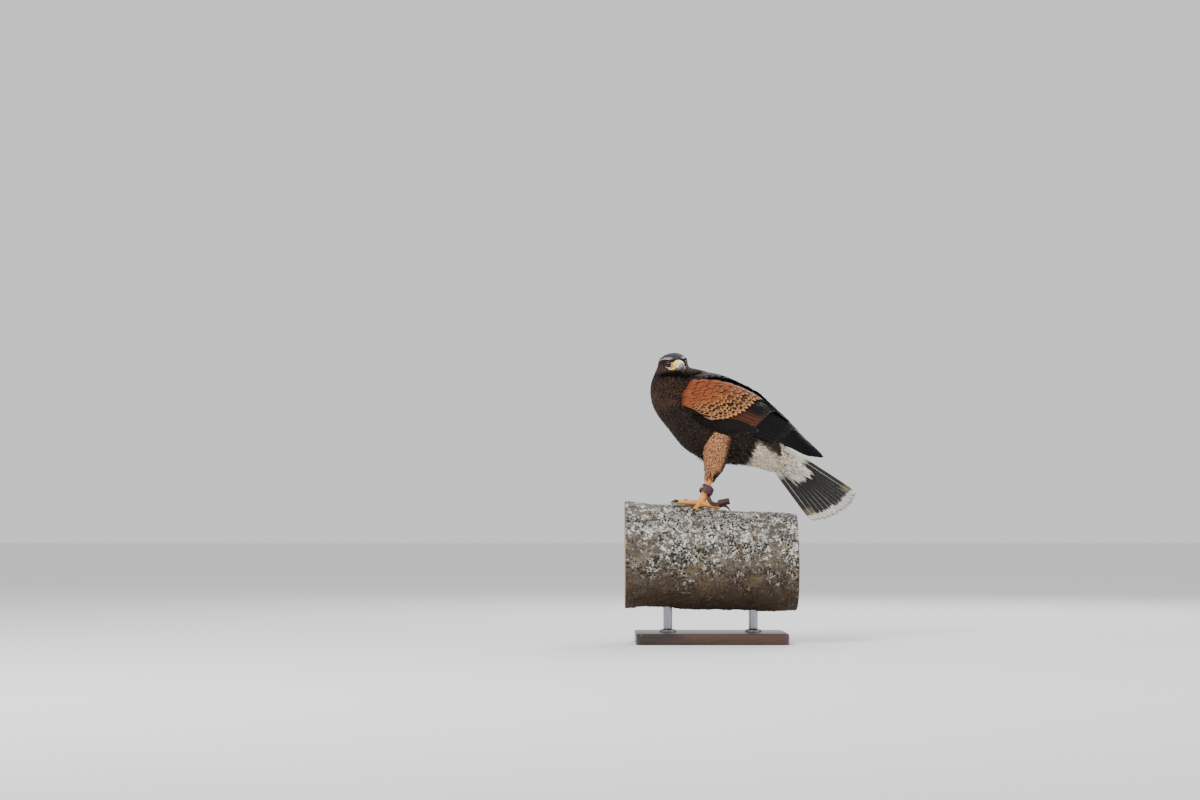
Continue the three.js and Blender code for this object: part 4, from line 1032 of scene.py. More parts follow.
def between(first, last, power=1.0):
    """A straight change between two places, as a function of the share from 0 to 1."""
    return lambda t: [first[0] + (last[0] - first[0]) * t ** power, first[1] + (last[1] - first[1]) * t]


def one_tint(paint, width=None):
    """The same paint for all feathers, with the width of their edge if it is an edge paint."""
    row = np.append(paint, [] if width is None else width)
    return lambda t: np.tile(row, (len(t), 1))


def two_tints(low, high, turning, width=None, soft=0.15):
    """One paint low on the wing and another higher up, changing about a share of the tier."""
    def made(t):
        row = mix(low, high, step(t, turning - soft, turning + soft)[:, None])
        return row if width is None else edged(row, np.full(len(t), width))
    return made


def sunk(x):
    """Lift of a feather's root, a little into the flesh."""
    return bed_top(x) - 1.2


BLACK, SOOT = tone(17, 15, 15), tone(28, 23, 22)
CHESTNUT, RUST, BUFF = tone(144, 78, 48), tone(96, 56, 40), tone(204, 144, 94)
PALE_EDGE, DULL_EDGE = tone(196, 180, 160), tone(88, 74, 64)

flight_tiers = [
    # Primaries, stacked flat, longest near the lower edge
    wing_tier(9, between((-130, -7), (-136, 52)),
              lambda t: [np.interp(t, [0, 0.2, 0.4, 0.6, 0.8, 1], [-252, -269, -279, -266, -251, -235]),
                         -5 + 63 * t],
              lambda t: [-11.6 + 5.6 * t, -10 + 5.6 * t], 8.4, 201, 9, 14, lean=-0.01, blunt=0.5,
              tint=one_tint(BLACK), rim=one_tint(tone(70, 62, 56), 0.03)),
    # Secondaries
    wing_tier(11, between((-84, -11), (-124, 54)), between((-150, -13), (-208, 51), 0.7),
              lambda t: [sunk(-82 - 42 * t), -4.6 + 2.7 * t], 9.6, 211, 9, 12,
              tint=one_tint(BLACK), rim=one_tint(PALE_EDGE, 0.035)),
    # Tertials
    wing_tier(4, between((-98, 54), (-86, 76)), between((-194, 58), (-158, 80)),
              lambda t: [sunk(-90 + 0 * t), 0.1 + 0.5 * t], 12.5, 221, 9, 12, blunt=0.45,
              tint=one_tint(SOOT), rim=one_tint(DULL_EDGE, 0.04)),
]
covert_tiers = [
    # Alula and primary coverts, along the lower front
    wing_tier(6, between((44, -23), (0, -8)), between((-42, -26), (-98, -9)),
              lambda t: [sunk(40 - 40 * t), -0.6 + 1.2 * t], 7.4, 231, 7, 9, blunt=0.45,
              tint=one_tint(SOOT), rim=one_tint(PALE_EDGE, 0.05)),
    # Greater coverts, rusty low down and black-brown with pale tips above
    wing_tier(13, between((4, -5), (-98, 58)), between((-92, -6), (-158, 53)),
              lambda t: [sunk(8 - 106 * t), -1.6 + 0.5 * t], 8.6, 241, 7, 8,
              tint=two_tints(RUST, SOOT, 0.34), rim=two_tints(tone(128, 84, 58), PALE_EDGE, 0.3, 0.06)),
    # Median coverts, dark with broad orange-buff edges
    wing_tier(14, lambda t: [38 - 98 * t, -10 + 68 * t],
              lambda t: [2 - 124 * t, -13 + 66 * t - 11 * np.sin(np.pi * t)],
              lambda t: [sunk(36 - 96 * t), 0.6 + 0 * t], 7.4, 251, 7, 7, blunt=0.5, ragged=0.08,
              tint=one_tint(tone(52, 32, 26)), rim=one_tint(BUFF, 0.34)),
]
LESSER_ROWS = 10
for row in range(LESSER_ROWS):
    # Lesser coverts: rows from the front edge to the median coverts, each tip over the next one's roots
    c = (row + 0.7) / LESSER_ROWS
    count = 11 + row // 2

    def tip_place(t, c=c):
        front = [62 - 22 * t, -2 + 44 * t]
        rear = [6 - 118 * t, -12 + 64 * t - 10 * np.sin(np.pi * t)]
        return [front[i] + (rear[i] - front[i]) * c ** 1.1 for i in (0, 1)]

    def root_place(t, c=c):
        x, turn = tip_place(t)
        return [np.minimum(x + 20 + 8 * c + 12 * t * c, 69), turn + 2]

    def lesser_tint(t, c=c):
        spots = noise(np.stack([t * 9, t * 0 + c * 9, t * 0], 1), 1, 5)
        dark = np.clip(step(c + 0.45 * (1 - t), 0.62, 1.15) + 0.25 * spots, 0, 1)
        return mix(CHESTNUT, tone(56, 33, 26), dark[:, None])

    def lesser_rim(t, c=c):
        share = step(c + 0.4 * (1 - t), 0.35, 0.95)
        return edged(mix(tone(170, 100, 64), BUFF, share[:, None]), 0.22 + 0.14 * share)

    covert_tiers.append(wing_tier(
        count, root_place, tip_place,
        lambda t, c=c: [sunk(50 - 70 * c - 40 * t) + 0.5, 1.2 + 1.2 * (1 - c) + 0 * t],
        lambda t: 6.0 + 1.4 * t, 300 + 10 * row, 5, 6, blunt=0.6, ragged=0.12, tint=lesser_tint,
        rim=lesser_rim, stray=4.5))
scapular_tiers = []
for row, (count, x_first, x_last, turn_first, turn_last, length, half) in enumerate([
        (6, 52, -20, 50, 66, 36, 8.5), (7, 34, -52, 60, 72, 44, 10), (7, 8, -86, 68, 79, 56, 11.5)]):
    # Scapulars, over the wing's upper edge where it meets the back
    scapular_tiers.append(wing_tier(
        count, between((x_first, turn_first), (x_last, turn_last)),
        between((x_first - length, turn_first + 3), (x_last - length - 6, turn_last + 2)),
        lambda t: [sunk(x_first - 90 * t) - 0.5, 2.0 + 0 * t], half, 400 + 10 * row, 7, 7, lean=-0.03,
        blunt=0.45, ragged=0.08, tint=one_tint(tone(32, 26, 24)), rim=one_tint(tone(74, 60, 52), 0.07)))

flight_finish = feather_finish("flight_feather", 640.0, 0.55, 0.05, colour(30, 25, 23), 0.14)
covert_finish = feather_finish("wing_covert", 240.0, 0.62, 0.03, colour(48, 32, 26), 0.12)


def flesh(name, low, high, relief=0.6):
    """Skin that shows only in gaps between feathers: two dull tones, rough and faintly pitted."""
    material, tree, shader = new_material(name, 0.9, Specular_IOR_Level=0.2)
    mottle = object_noise(tree, 300, 4, 0.7)
    set_base(shader, blend(tree, mottle, low, high))
    add_bump(tree, shader, mottle, 0.001, relief)
    return material


bed_finish = flesh("wing_skin", colour(22, 17, 15), colour(46, 32, 26))


def mirrored(coat):
    """A set of leaves of the left wing, as the right wing's."""
    points, faces, share = coat["leaves"]
    return {**coat, "leaves": (far_side(points), faces[:, ::-1], share)}


for side, carry in (("left", lambda coat: coat), ("right", mirrored)):
    rings = wing_bed() if side == "left" else far_side(wing_bed())
    add_part("wing_skin_" + side, loft(rings), "wing_plumage", bed_finish, ["wing_" + side])
    for name, finish, tiers in (("flight_feathers_", flight_finish, flight_tiers),
                                ("wing_coverts_", covert_finish, covert_tiers + scapular_tiers)):
        add_coat(name + side, "wing_plumage", finish, *[carry(tier) for tier in tiers])


# Tail: twelve broad feathers in a half-open fan, seen from below, black with white roots and tips.
# Cream under coverts and white upper coverts hide its fleshy root.

TAIL_TURN = turn_about(1, np.pi - np.radians(38)) @ turn_about(0, np.pi - np.radians(35))
TAIL_PLACE = np.array([-152.0, 0, 126])
TAIL = {"count": 12, "length": 223, "spread": np.radians(22), "root": 17, "width": 21}
# The tail's root, along it: distance, half width, reach above and below
TAIL_ROOT = [(-12, 19, 16, 16), (6, 19, 14, 16), (30, 18, 10, 15), (55, 16, 6, 12), (75, 12, 3, 7),
             (88, 7, 1.5, 2.5)]
# The outside of the coverts on it
TAIL_COAT = [(-40, 24, 21, 22), (0, 24, 18, 21), (30, 25, 13.5, 20), (55, 26, 10, 17), (80, 26, 8, 12.5),
             (105, 26, 6.5, 8.5), (125, 26, 5.5, 6)]


def from_tail(points):
    """Points of the tail's frame, in the hawk's: x along the tail, z to its upper side."""
    return points @ TAIL_TURN.T + TAIL_PLACE


def root_point(sections, x, turn, lift=0.0):
    """A point of the tail's root: half width across, and its own reach above and below."""
    wide, up, low = table(sections, x)
    tall = np.where(np.sin(turn) > 0, up, low)
    return np.stack(np.broadcast_arrays(x, (wide + lift) * np.cos(turn), (tall + lift) * np.sin(turn)), -1)


k = np.arange(TAIL["count"])
t = (k / (TAIL["count"] - 1) * 2 - 1)[:, None]
fan = TAIL["spread"] / 2 * t
s = np.linspace(0, 1, 26)
reach = 10 + (TAIL["length"] * (1 - 0.055 * t ** 2) - 10) * s
y = reach * np.sin(fan) + t * TAIL["root"]
rise = 4.2 * (1 - np.abs(t)) + 0.35 * (t > 0)
line = np.stack([reach * np.cos(fan), y, rise * np.minimum(1, 2 * s + 0.2) - 0.00085 * y ** 2], -1)
out = unit(np.stack([0 * y, 0.0017 * y, 1 + 0 * y], -1))
profile = np.interp(s, [0, 0.35, 0.8, 0.93, 0.97, 1], [0.35, 0.86, 1, 0.96, 0.8, 0.42])
lean = -0.035 * np.sign(t[:, 0])
tail_leaves = leaves(from_tail(line), out @ TAIL_TURN.T, TAIL["width"] / 2 * profile + 0 * t, 11, 0.6, 0.03,
                     0.035, seed=501, lean=lean)
outer = np.where(np.abs(t[:, 0]) > 0.95, 1.0, 0.0)[:, None]
near_tip = mix(tone(22, 19, 19), tone(112, 98, 74), outer)
rectrices = {"leaves": tail_leaves, "tint": near_tip,
             "rim": edged(tone(238, 232, 222), 0.075 + 0.03 * chance(TAIL["count"], 502)),
             "place": np.stack([0.1 + 0.065 * k, 0.3 + 0 * k], 1)}

tail_finish, tree, shader = new_material("tail_feather", 0.42, Specular_IOR_Level=0.4)
patch = stored(tree, "tint")
rim = add_node(tree, "Attribute", {"attribute_name": "rim"})
parts = add_node(tree, "SeparateXYZ", Vector=add_node(tree, "UVMap", {"uv_map": "vane"}).outputs[0])
s_node = parts.outputs["X"]
off = from_shaft(tree, parts.outputs["Y"])
grain = object_noise(tree, 260, 5, 0.75)
wander = maths(tree, "MULTIPLY", maths(tree, "SUBTRACT", grain, 0.5), 0.09)
along = maths(tree, "ADD", s_node, wander)
tip_line = maths(tree, "SUBTRACT", 1.0, rim.outputs["Alpha"])
beyond = maths(tree, "SUBTRACT", along, tip_line)
tint = blend(tree, ramp(tree, along, 0.3, 0.4), colour(232, 222, 204), colour(19, 17, 17))
tint = blend(tree, ramp(tree, beyond, -0.13, -0.05), tint, patch)
tint = blend(tree, ramp(tree, beyond, -0.012, 0.012), tint, rim.outputs["Color"])
barbs = maths(tree, "SUBTRACT", maths(tree, "MULTIPLY", s_node, 900.0), maths(tree, "MULTIPLY", off, 120.0))
lines = maths(tree, "SINE", maths(tree, "ADD", barbs, maths(tree, "MULTIPLY", grain, 6.0)))
tint = blend(tree, ramp(tree, lines, -1, 1, 0.22, 0), tint, colour(60, 54, 48))
edge_line = maths(tree, "MULTIPLY", ramp(tree, off, 0.9, 0.96), ramp(tree, along, 0.55, 0.8, 0.15, 0.8))
tint = blend(tree, edge_line, tint, colour(206, 198, 186))
shaft_line = ramp(tree, off, 0.045, 0.075, 1, 0)
shaft_line = maths(tree, "MULTIPLY", shaft_line, ramp(tree, s_node, 0.2, 0.9, 0.9, 0.5))
tint = blend(tree, shaft_line, tint, colour(226, 218, 204))
set_base(shader, tint)
add_bump(tree, shader, maths(tree, "ADD", lines, maths(tree, "MULTIPLY", shaft_line, 2.0)), 0.0003, 0.5)

root = root_point(TAIL_ROOT, np.linspace(-12, 88, 30)[:, None], circle(48))
root_finish = flesh("tail_root_skin", colour(196, 170, 136), colour(238, 224, 200), 0.7)
add_part("tail_root", loft(root), "tail_plumage", root_finish, ["tail"], from_tail)
add_coat("tail_feathers", "tail_plumage", tail_finish, rectrices)


def tail_coverts(count, turns, starts, length, half, seed, ragged, tint, rim, columns=7, rows=8, puff=1.2):
    """Coverts set over the tail's root at random turns and distances, each lying straight back on
    the outside of the coat, which its tip stands a little off."""
    turn = np.radians(chance(count, seed, *turns))[:, None]
    start = (starts[0] + (starts[1] - starts[0]) * (np.arange(count)[:, None] + 0.5) / count)
    size = length * chance(count, seed + 1, 0.82, 1.12)[:, None]
    s = np.linspace(0, 1, rows)
    x = np.minimum(start + size * s, 124)
    lift = -6 * (1 - s) ** 1.5 + chance(count, seed + 2, -1.6, puff)[:, None] * s
    spin = turn + chance(count, seed + 3, -0.14, 0.14)[:, None] * s
    line = root_point(TAIL_COAT, x, spin, lift)
    out = unit(root_point(TAIL_COAT, x, spin, lift + 1) - line)
    profile = np.interp(s, [0, 0.3, 0.65, 0.88, 1], [0.55, 0.95, 1, 0.7, 0.14])
    wide = half * chance(count, seed + 4, 0.8, 1.2)[:, None] * profile
    made = leaves(from_tail(line), out @ TAIL_TURN.T, wide, columns, 0.4, 0.2, ragged, seed=seed + 5)
    shade = chance(count, seed + 6, 0.86, 1.08)[:, None]
    place = np.stack([turn[:, 0] / (2 * np.pi) % 1, (start[:, 0] + 42) / 180], 1)
    return {"leaves": made, "tint": tint(start[:, 0]) * shade, "rim": rim(start[:, 0]),
            "place": place.clip(0.01, 0.99)}


def cream_to_white(x):
    """Under coverts: buff by the vent, whiter towards their ends."""
    return mix(tone(224, 192, 152), tone(242, 232, 214), step(x, -10, 55)[:, None])


def off_white(x):
    """Upper coverts: the same off-white all over."""
    return tone(232, 222, 206) + 0 * x[:, None]


white_rim = one_tint(tone(252, 247, 238), 0.14)
soft_finish = feather_finish("soft_covert", 160.0, 0.75, gloss=0.2, dark=colour(196, 166, 128))
add_coat("tail_coverts", "tail_plumage", soft_finish,
         tail_coverts(150, (185, 355), (-34, 68), 52, 5.2, 511, 0.34, cream_to_white, white_rim),
         tail_coverts(60, (200, 340), (-20, 60), 60, 3.4, 521, 0.5, cream_to_white, white_rim, puff=3.2),
         tail_coverts(70, (8, 172), (-30, 46), 44, 6.2, 531, 0.14, off_white, white_rim))


# Thighs: full feathered muscles. Short rufous feathers with paler edges cover them, longer behind,
# where they hang ragged over the top of the shank; painted shade turns the rear and lowest near black.

LEGS = {
    "left": {"side": 1, "hip": (-24, 38, 158), "hock": (-13, 36, 80), "foot": (14, 30)},
    "right": {"side": -1, "hip": (-62, -38, 158), "hock": (-48, -36, 84), "foot": (-18, -30)},
}


def ground_at(x, y):
    """Height of the limb's top under places in the hawk's frame."""
    p = on_limb(np.stack(np.broadcast_arrays(x, y, 0.0), -1))
    return limb_top(p[..., 0], p[..., 1]) - STAND[2]


for leg in LEGS.values():
    leg["hip"], leg["hock"] = np.array(leg["hip"], float), np.array(leg["hock"], float)
    x, y = leg["foot"]
    leg["palm"] = np.array([x, y, float(ground_at(np.array(float(x)), np.array(float(y)))) + 7])
    down = leg["hock"] - leg["hip"]
    low, lower = (leg["hock"] + (leg["palm"] - leg["hock"]) * share for share in (0.3, 0.5))
    # Along the thigh: share of the way to the hock, centre and radius
    leg["thigh"] = [(0, *leg["hip"], 31), (0.45, *(leg["hip"] + 0.45 * down), 28),
                    (0.75, *(leg["hip"] + 0.75 * down), 25), (1, *leg["hock"], 20), (1.28, *low, 11),
                    (1.5, *lower, 8)]


def thigh_point(leg, share, turn, lift):
    """A point of the thigh: on a ring about its centre line, turn 0 in front, a little flattened."""
    x, y, z, radius = table(leg["thigh"], share)
    before, after = (np.stack(table(leg["thigh"], share + d)[:3], -1) for d in (-0.01, 0.01))
    ahead = unit(after - before)
    across = unit(np.cross(ahead, [0, 1, 0]))
    out = np.cross(across, ahead)
    return (np.stack([x, y, z], -1) + across * ((radius + lift) * np.cos(turn))[..., None]
            + out * ((0.86 * radius + lift) * np.sin(turn))[..., None])


def thigh_coat(leg, count, shares, length, half, seed, ragged, rise, behind=0.0):
    """Feathers spread over the thigh by golden steps, each lying straight down it, the tip a little
    off. With behind over 0 they crowd to its rear."""
    k = np.arange(count) + 0.5
    turn = 2 * np.pi * ((k * 0.7548776662) % 1)
    turn = (turn + behind * np.sin(turn))[:, None]
    start = (shares[0] + (shares[1] - shares[0]) * ((k * 0.5698402910) % 1))[:, None]
    rear = step(-np.cos(turn), 0.1, 0.75)
    size = length * chance(count, seed, 0.8, 1.2)[:, None] * (1 + 0.35 * rear)
    s = np.linspace(0, 1, 5)
    lift = -4.2 * (1 - s) ** 1.2 + chance(count, seed + 1, 0.1, rise)[:, None] * s
    spin = turn + chance(count, seed + 2, -0.16, 0.16)[:, None] * s
    line = thigh_point(leg, start + size / 79 * s, spin, lift)
    out = unit(thigh_point(leg, start + size / 79 * s, spin, lift + 1) - line)
    profile = np.interp(s, [0, 0.3, 0.65, 0.88, 1], [0.55, 0.95, 1, 0.72, 0.14])
    made = leaves(line, out, half * chance(count, seed + 3, 0.85, 1.15)[:, None] * profile, 5, 0.35, 0.2,
                  ragged, seed=seed + 4)
    # Painted shade: the feathers at the thigh's rear, and the low ones near the hock on its sides and back,
    # turn near black, edges too.
    dark = np.clip(rear * 0.95 + 0.8 * step(start, 0.86, 1.1) * step(-np.cos(turn), -0.5, 0.4), 0, 1)
    mottle = chance(count, seed + 5)[:, None]
    tint = mix(mix(tone(176, 106, 62), tone(112, 60, 38), mottle), tone(36, 24, 20), dark)
    edge = mix(tone(216, 158, 112), tone(74, 48, 36), dark)
    place = np.concatenate([turn / (2 * np.pi) % 1, start / 1.5], 1)
    rim = edged(edge, 0.16 + 0.12 * chance(count, seed + 6))
    return {"leaves": made, "tint": tint, "rim": rim, "place": place.clip(0.01, 0.99)}


thigh_finish = feather_finish("thigh_feather", 90.0, 0.6, dark=colour(38, 22, 16))
flesh_finish = flesh("thigh_skin", colour(42, 26, 20), colour(84, 50, 34))
for name, leg in LEGS.items():
    turn, share = np.meshgrid(circle(48), np.linspace(0.02, 1.3, 40))
    add_part("thigh_skin_" + name, loft(thigh_point(leg, share, turn, -3.6)), "thigh_plumage",
             flesh_finish, ["thigh_" + name])
    add_coat("thigh_plumage_" + name, "thigh_plumage", thigh_finish,
             thigh_coat(leg, 1500, (0.0, 1.02), 15, 2.9, 601, 0.16, 1.3),
             thigh_coat(leg, 240, (0.3, 1.16), 22, 2.2, 611, 0.4, 3.2, behind=-0.8))


# Shanks and feet: bare and golden. Broad plates run down the front of the shank and along the top
# of the toes, small round scales cover the rest. Shank, palm and toes are one unbroken skin.

TOES = {  # angle from the foot's forward line, length, radius at the root, claw length along its arc
    "hind": (178, 37, 5.4, 30), "inner": (-34, 33, 5.0, 22),
    "middle": (0, 48, 4.8, 19), "outer": (60, 31, 4.4, 16),
}
FOOT_TURN = np.radians(-25)
TOE_RISE = 2.4


def toe_point(leg, angle, distance, lift):
    """A place on the limb at a distance from the foot's middle along an angle, lifted off the bark."""
    heading = FOOT_TURN + leg["side"] * np.radians(angle)
    x, y = leg["foot"][0] + distance * np.cos(heading), leg["foot"][1] + distance * np.sin(heading)
    here = np.stack([x, y, ground_at(x, y)], -1)
    along_x = np.stack([x * 0 + 1, x * 0, ground_at(x + 1, y) - here[..., 2]], -1)
    along_y = np.stack([x * 0, x * 0 + 1, ground_at(x, y + 1) - here[..., 2]], -1)
    return here + unit(np.cross(along_x, along_y)) * np.asarray(lift)[..., None]


def tube(path, radii, columns, flat=1.0, hint=(0, 0, 1)):
    """Rings about a path, each at right angles to it: radius times cosine to the side and sine up,
    with the upward half flattened. The radius may change round the ring."""
    ahead = unit(np.gradient(path, axis=0))
    side = unit(np.cross(ahead, hint))
    up = np.cross(side, ahead)
    turn = circle(columns)
    radii = np.broadcast_to(radii, (len(path), columns))[..., None]
    return (path[:, None] + radii * np.cos(turn)[:, None] * side[:, None]
            + radii * flat * np.sin(turn)[:, None] * up[:, None])


def plates(distance, spacing, turn, facing, reach):
    """Relief of overlapping plates: each rises slowly along it and drops at its end, on the part of
    the ring within the reach of the facing turn, and fine scales elsewhere."""
    share = (distance / spacing) % 1
    near = step(np.cos(turn - facing), np.cos(reach) - 0.15, np.cos(reach) + 0.15)
    plate = share ** 0.7 * (1 - share ** 12)
    scale = 0.5 + 0.5 * np.cos(2 * np.pi * distance / 2.4) * np.cos(11 * turn + np.pi * (distance // 2.4 % 2))
    return near * plate + (1 - near) * 0.55 * scale


def foot_parts(leg):
    """Closed surfaces of shank, palm and toes, which run into one another."""
    t = np.linspace(0, 1.02, 170)
    columns = circle(56)
    radius = table([(0, 8.6), (0.25, 7.8), (0.6, 7.4), (0.9, 7.7), (1.02, 8.2)], t)[0]
    down = leg["palm"] - leg["hock"]
    relief = 1.3 * plates(np.linalg.norm(down) * t[:, None], 4.0, columns, 0, 1.15)
    shank = tube(leg["hock"] + down * t[:, None], radius[:, None] - 0.35 + 0.55 * relief, 56, 0.84, (0, 1, 0))
    rise = np.linspace(-np.pi / 2, np.pi / 2, 24)[:, None]
    ball = np.stack(np.broadcast_arrays(np.cos(rise) * np.cos(columns), np.cos(rise) * np.sin(columns),
                                        np.sin(rise)), -1) * [9, 8, 6.5] + leg["palm"] - [0, 0, 1]
    parts = [loft(shank), loft(ball[1:-1])]
    for angle, reach, root, _ in TOES.values():
        t = np.linspace(0, 1, 90)
        knuckle = root * (1 - 0.22 * t) * (0.98 + 0.08 * np.cos(2 * np.pi * t / 0.4))
        end = np.sqrt(np.clip(1 - np.clip((t - 0.9) / 0.1, 0, 1) ** 2, 0.12, 1))
        lift = knuckle * 0.86 + 1.8 * np.sin(np.pi * t) + 4 * (1 - t) ** 3 + TOE_RISE * t * t
        relief = 1.3 * plates(reach * t[:, None], 3.2, columns, np.pi / 2, 1.1)
        parts.append(loft(tube(toe_point(leg, angle, (reach + 1) * t, lift),
                               (knuckle * end)[:, None] - 0.25 + 0.5 * relief, 56)))
    return parts


foot_finish, tree, shader = new_material("bare_foot_skin", 0.42, Specular_IOR_Level=0.45)
place = add_node(tree, "TexCoord").outputs["Object"]
cells = add_node(tree, "TexVoronoi", {"feature": "DISTANCE_TO_EDGE"}, Vector=place, Scale=560.0)
cells = cells.outputs["Distance"]
patches = object_noise(tree, 60, 3, 0.6)
golden = blend(tree, patches, colour(222, 140, 56), colour(238, 168, 84))
cracks = ramp(tree, cells, 0.0, 0.1, 0.75, 0.0)
set_base(shader, blend(tree, cracks, golden, colour(132, 74, 32)))
add_bump(tree, shader, ramp(tree, cells, 0.0, 0.2), 0.0005, 0.55)

claw_finish, tree, shader = new_material("claw_horn", 0.22, Specular_IOR_Level=0.6, Coat_Weight=0.3,
                                         Coat_Roughness=0.15)
streaks = object_noise(tree, 240, 3, 0.6)
set_base(shader, blend(tree, streaks, colour(12, 11, 12), colour(30, 27, 26)))


CLAW_BEND, CLAW_START = np.radians(118), np.radians(42)


def one_mesh(parts):
    """Several closed surfaces, as the points and faces of one mesh."""
    points, blocks, made = [], [], 0
    for own, faces in parts:
        points.append(own)
        blocks += [block + made for block in faces]
        made += len(own)
    return np.concatenate(points), blocks


def claws(leg):
    """Claws: arcs that leave the toe's end upwards, bend over and come down to a point. The section
    is round above and narrower below, and tapers to the tip."""
    parts = []
    for angle, reach, root, length in TOES.values():
        t = np.linspace(0, 1, 40)
        bend = CLAW_BEND * t - CLAW_START
        arc = length / CLAW_BEND
        distance = reach - 3 + arc * (np.sin(bend) + np.sin(CLAW_START))
        lift = root * 0.72 + TOE_RISE + arc * (np.cos(bend) - np.cos(CLAW_START))
        turn = circle(24)
        radius = root * 0.72 * (1 - t) ** 0.75 + 0.22
        narrow = 1 - 0.2 * np.clip(-np.sin(turn), 0, 1)
        path = toe_point(leg, angle, distance, np.maximum(lift, 0.8))
        parts.append(loft(tube(path, radius[:, None] * narrow, 24)))
    return one_mesh(parts)


for name, leg in LEGS.items():
    foot = add_part("foot_skin_" + name, one_mesh(foot_parts(leg)), "bare_skin", foot_finish,
                    ["tarsus_" + name, "foot_" + name])
    merge = foot.modifiers.new("one_skin", "REMESH")
    merge.mode, merge.voxel_size, merge.use_smooth_shade = "VOXEL", 0.00042, True
    soften = foot.modifiers.new("soften", "SMOOTH")
    soften.factor, soften.iterations = 0.5, 1
    add_part("claws_" + name, claws(leg), "claw_horn", claw_finish,
             ["claw_" + name + "_" + toe for toe in TOES])


# Worn leather: a loose cuff of soft dark leather round each shank, held by a brass eyelet, and a
# short strap through it that lies over the hind toe and is rolled up at its end.

def leather(name, low, high, worn):
    """Leather: two browns in soft patches, fine creases, and a paler worn tint on high spots."""
    material, tree, shader = new_material(name, 0.52, Specular_IOR_Level=0.35)
    patches = object_noise(tree, 90, 4, 0.6)
    creases = object_noise(tree, 520, 5, 0.75)
    tint = blend(tree, patches, low, high)
    tint = blend(tree, ramp(tree, creases, 0.55, 0.85, 0, 0.5), tint, worn)
    set_base(shader, tint)
    add_bump(tree, shader, creases, 0.0006, 0.5)
    return material


cuff_finish = leather("cuff_leather", colour(48, 28, 36), colour(78, 48, 60), colour(132, 98, 104))
strap_finish = leather("strap_leather", colour(44, 25, 26), colour(74, 44, 42), colour(128, 92, 84))
brass, tree, shader = new_material("eyelet_brass", 0.3, Metallic=1.0)
shader.inputs["Base Color"].default_value = colour(214, 190, 140)


def cuff_frame(leg):
    """Middle of the cuff, its own slanting axis, and the two ways across it."""
    axis = turn_about(1, np.radians(-14)) @ unit(leg["palm"] - leg["hock"])
    across = unit(np.cross(axis, [0, 1, 0]))
    middle = leg["hock"] + (leg["palm"] - leg["hock"]) * 0.64 - [2.2, 0, 0]
    return middle, axis, across, np.cross(across, axis)


def cuff_point(leg, turn, height, lift):
    """A point of the cuff: slightly oval, wider at its foot, with a soft wave."""
    middle, axis, across, out = cuff_frame(leg)
    radius = 13.1 + 0.05 * height + lift + 0.35 * np.sin(2 * turn + 0.7)
    radius = radius + 0.2 * np.sin(5 * turn + 0.3 * height)
    height = height + 0.5 * np.sin(turn + 2) + 0.3 * np.sin(3 * turn)
    return (middle + axis * height[..., None] + across * (radius * np.cos(turn))[..., None]
            + out * (0.95 * radius * np.sin(turn))[..., None])


def signed_power(value, power):
    """The size to a power, with the sign kept: it squares off or sharpens a round section."""
    return np.sign(value) * np.abs(value) ** power


CUFF_START = 0.9


def cuff(leg):
    """The band: a rounded section, thicker in the folded edges, carried round the shank, and its end
    lapped over the start."""
    k = circle(26)
    height = 8.1 * signed_power(np.cos(k), 0.55)
    lift = (0.85 + 0.35 * np.exp(-(np.abs(height) - 7.0) ** 2)) * np.sin(k)
    lapped = CUFF_START + 2 * np.pi
    turn = np.linspace(CUFF_START, lapped + 0.8, 150)[:, None]
    step_up = 1.35 * step(turn, lapped - 0.5, lapped)
    return loft(cuff_point(leg, turn, height, lift + step_up - 0.7))


def closed_faces(rows, columns):
    """Faces between the neighbours of a grid of points that is joined round both ways."""
    quads = grid_faces(rows + 1, columns, True)
    return np.where(quads >= rows * columns, quads - rows * columns, quads)


def torus_on(place, normal, ring, wire, columns=28, sides=10):
    """A ring of round wire about a normal: its radius, and the wire's."""
    normal = unit(np.asarray(normal, float))
    across = unit(np.cross(normal, [0.3, 0.2, 1.0]))
    other = np.cross(normal, across)
    a, b = circle(columns)[:, None], circle(sides)
    radial = across * np.cos(a)[..., None] + other * np.sin(a)[..., None]
    points = place + radial * (ring + wire * np.cos(b))[..., None]
    points = (points + normal * (0.7 * wire * np.sin(b))[..., None]).reshape(-1, 3)
    return points, outward(points, [closed_faces(columns, sides)])


def strap(leg):
    """A flat strap with rounded edges and its face outwards: down out of the cuff and along the
    outside of the hind toe. Its place is a distance along the toe, one out from it, and a lift."""
    lead = [(0, 11, 5.0, 23), (0.12, 13.5, 7.0, 18.5), (0.3, 17, 8.8, 13.5), (0.55, 23, 9.4, 10.6),
            (0.78, 30, 9.6, 10.8), (1, 38, 10.0, 14)]
    distance, out, lift = table(lead, np.linspace(0, 1, 70))
    path = toe_point(leg, 178, distance, lift) + strap_aside(leg) * out[:, None]
    ahead = unit(np.gradient(path, axis=0))
    up = unit(np.cross(ahead, strap_aside(leg)))
    k = circle(22)
    wave = 0.5 * np.sin(np.linspace(0, 9, 70))[:, None]
    flat = 3.9 * signed_power(np.cos(k), 0.45)
    thick = 0.95 * signed_power(np.sin(k), 0.6)
    aside = strap_aside(leg) * (thick + wave * np.cos(k))[..., None]
    return loft(path[:, None] + up[:, None] * flat[:, None] + aside)


def strap_aside(leg):
    """The level way from the hind toe to the outside of the foot."""
    heading = FOOT_TURN + leg["side"] * np.radians(178)
    return np.array([np.sin(heading), -np.cos(heading), 0]) * leg["side"]


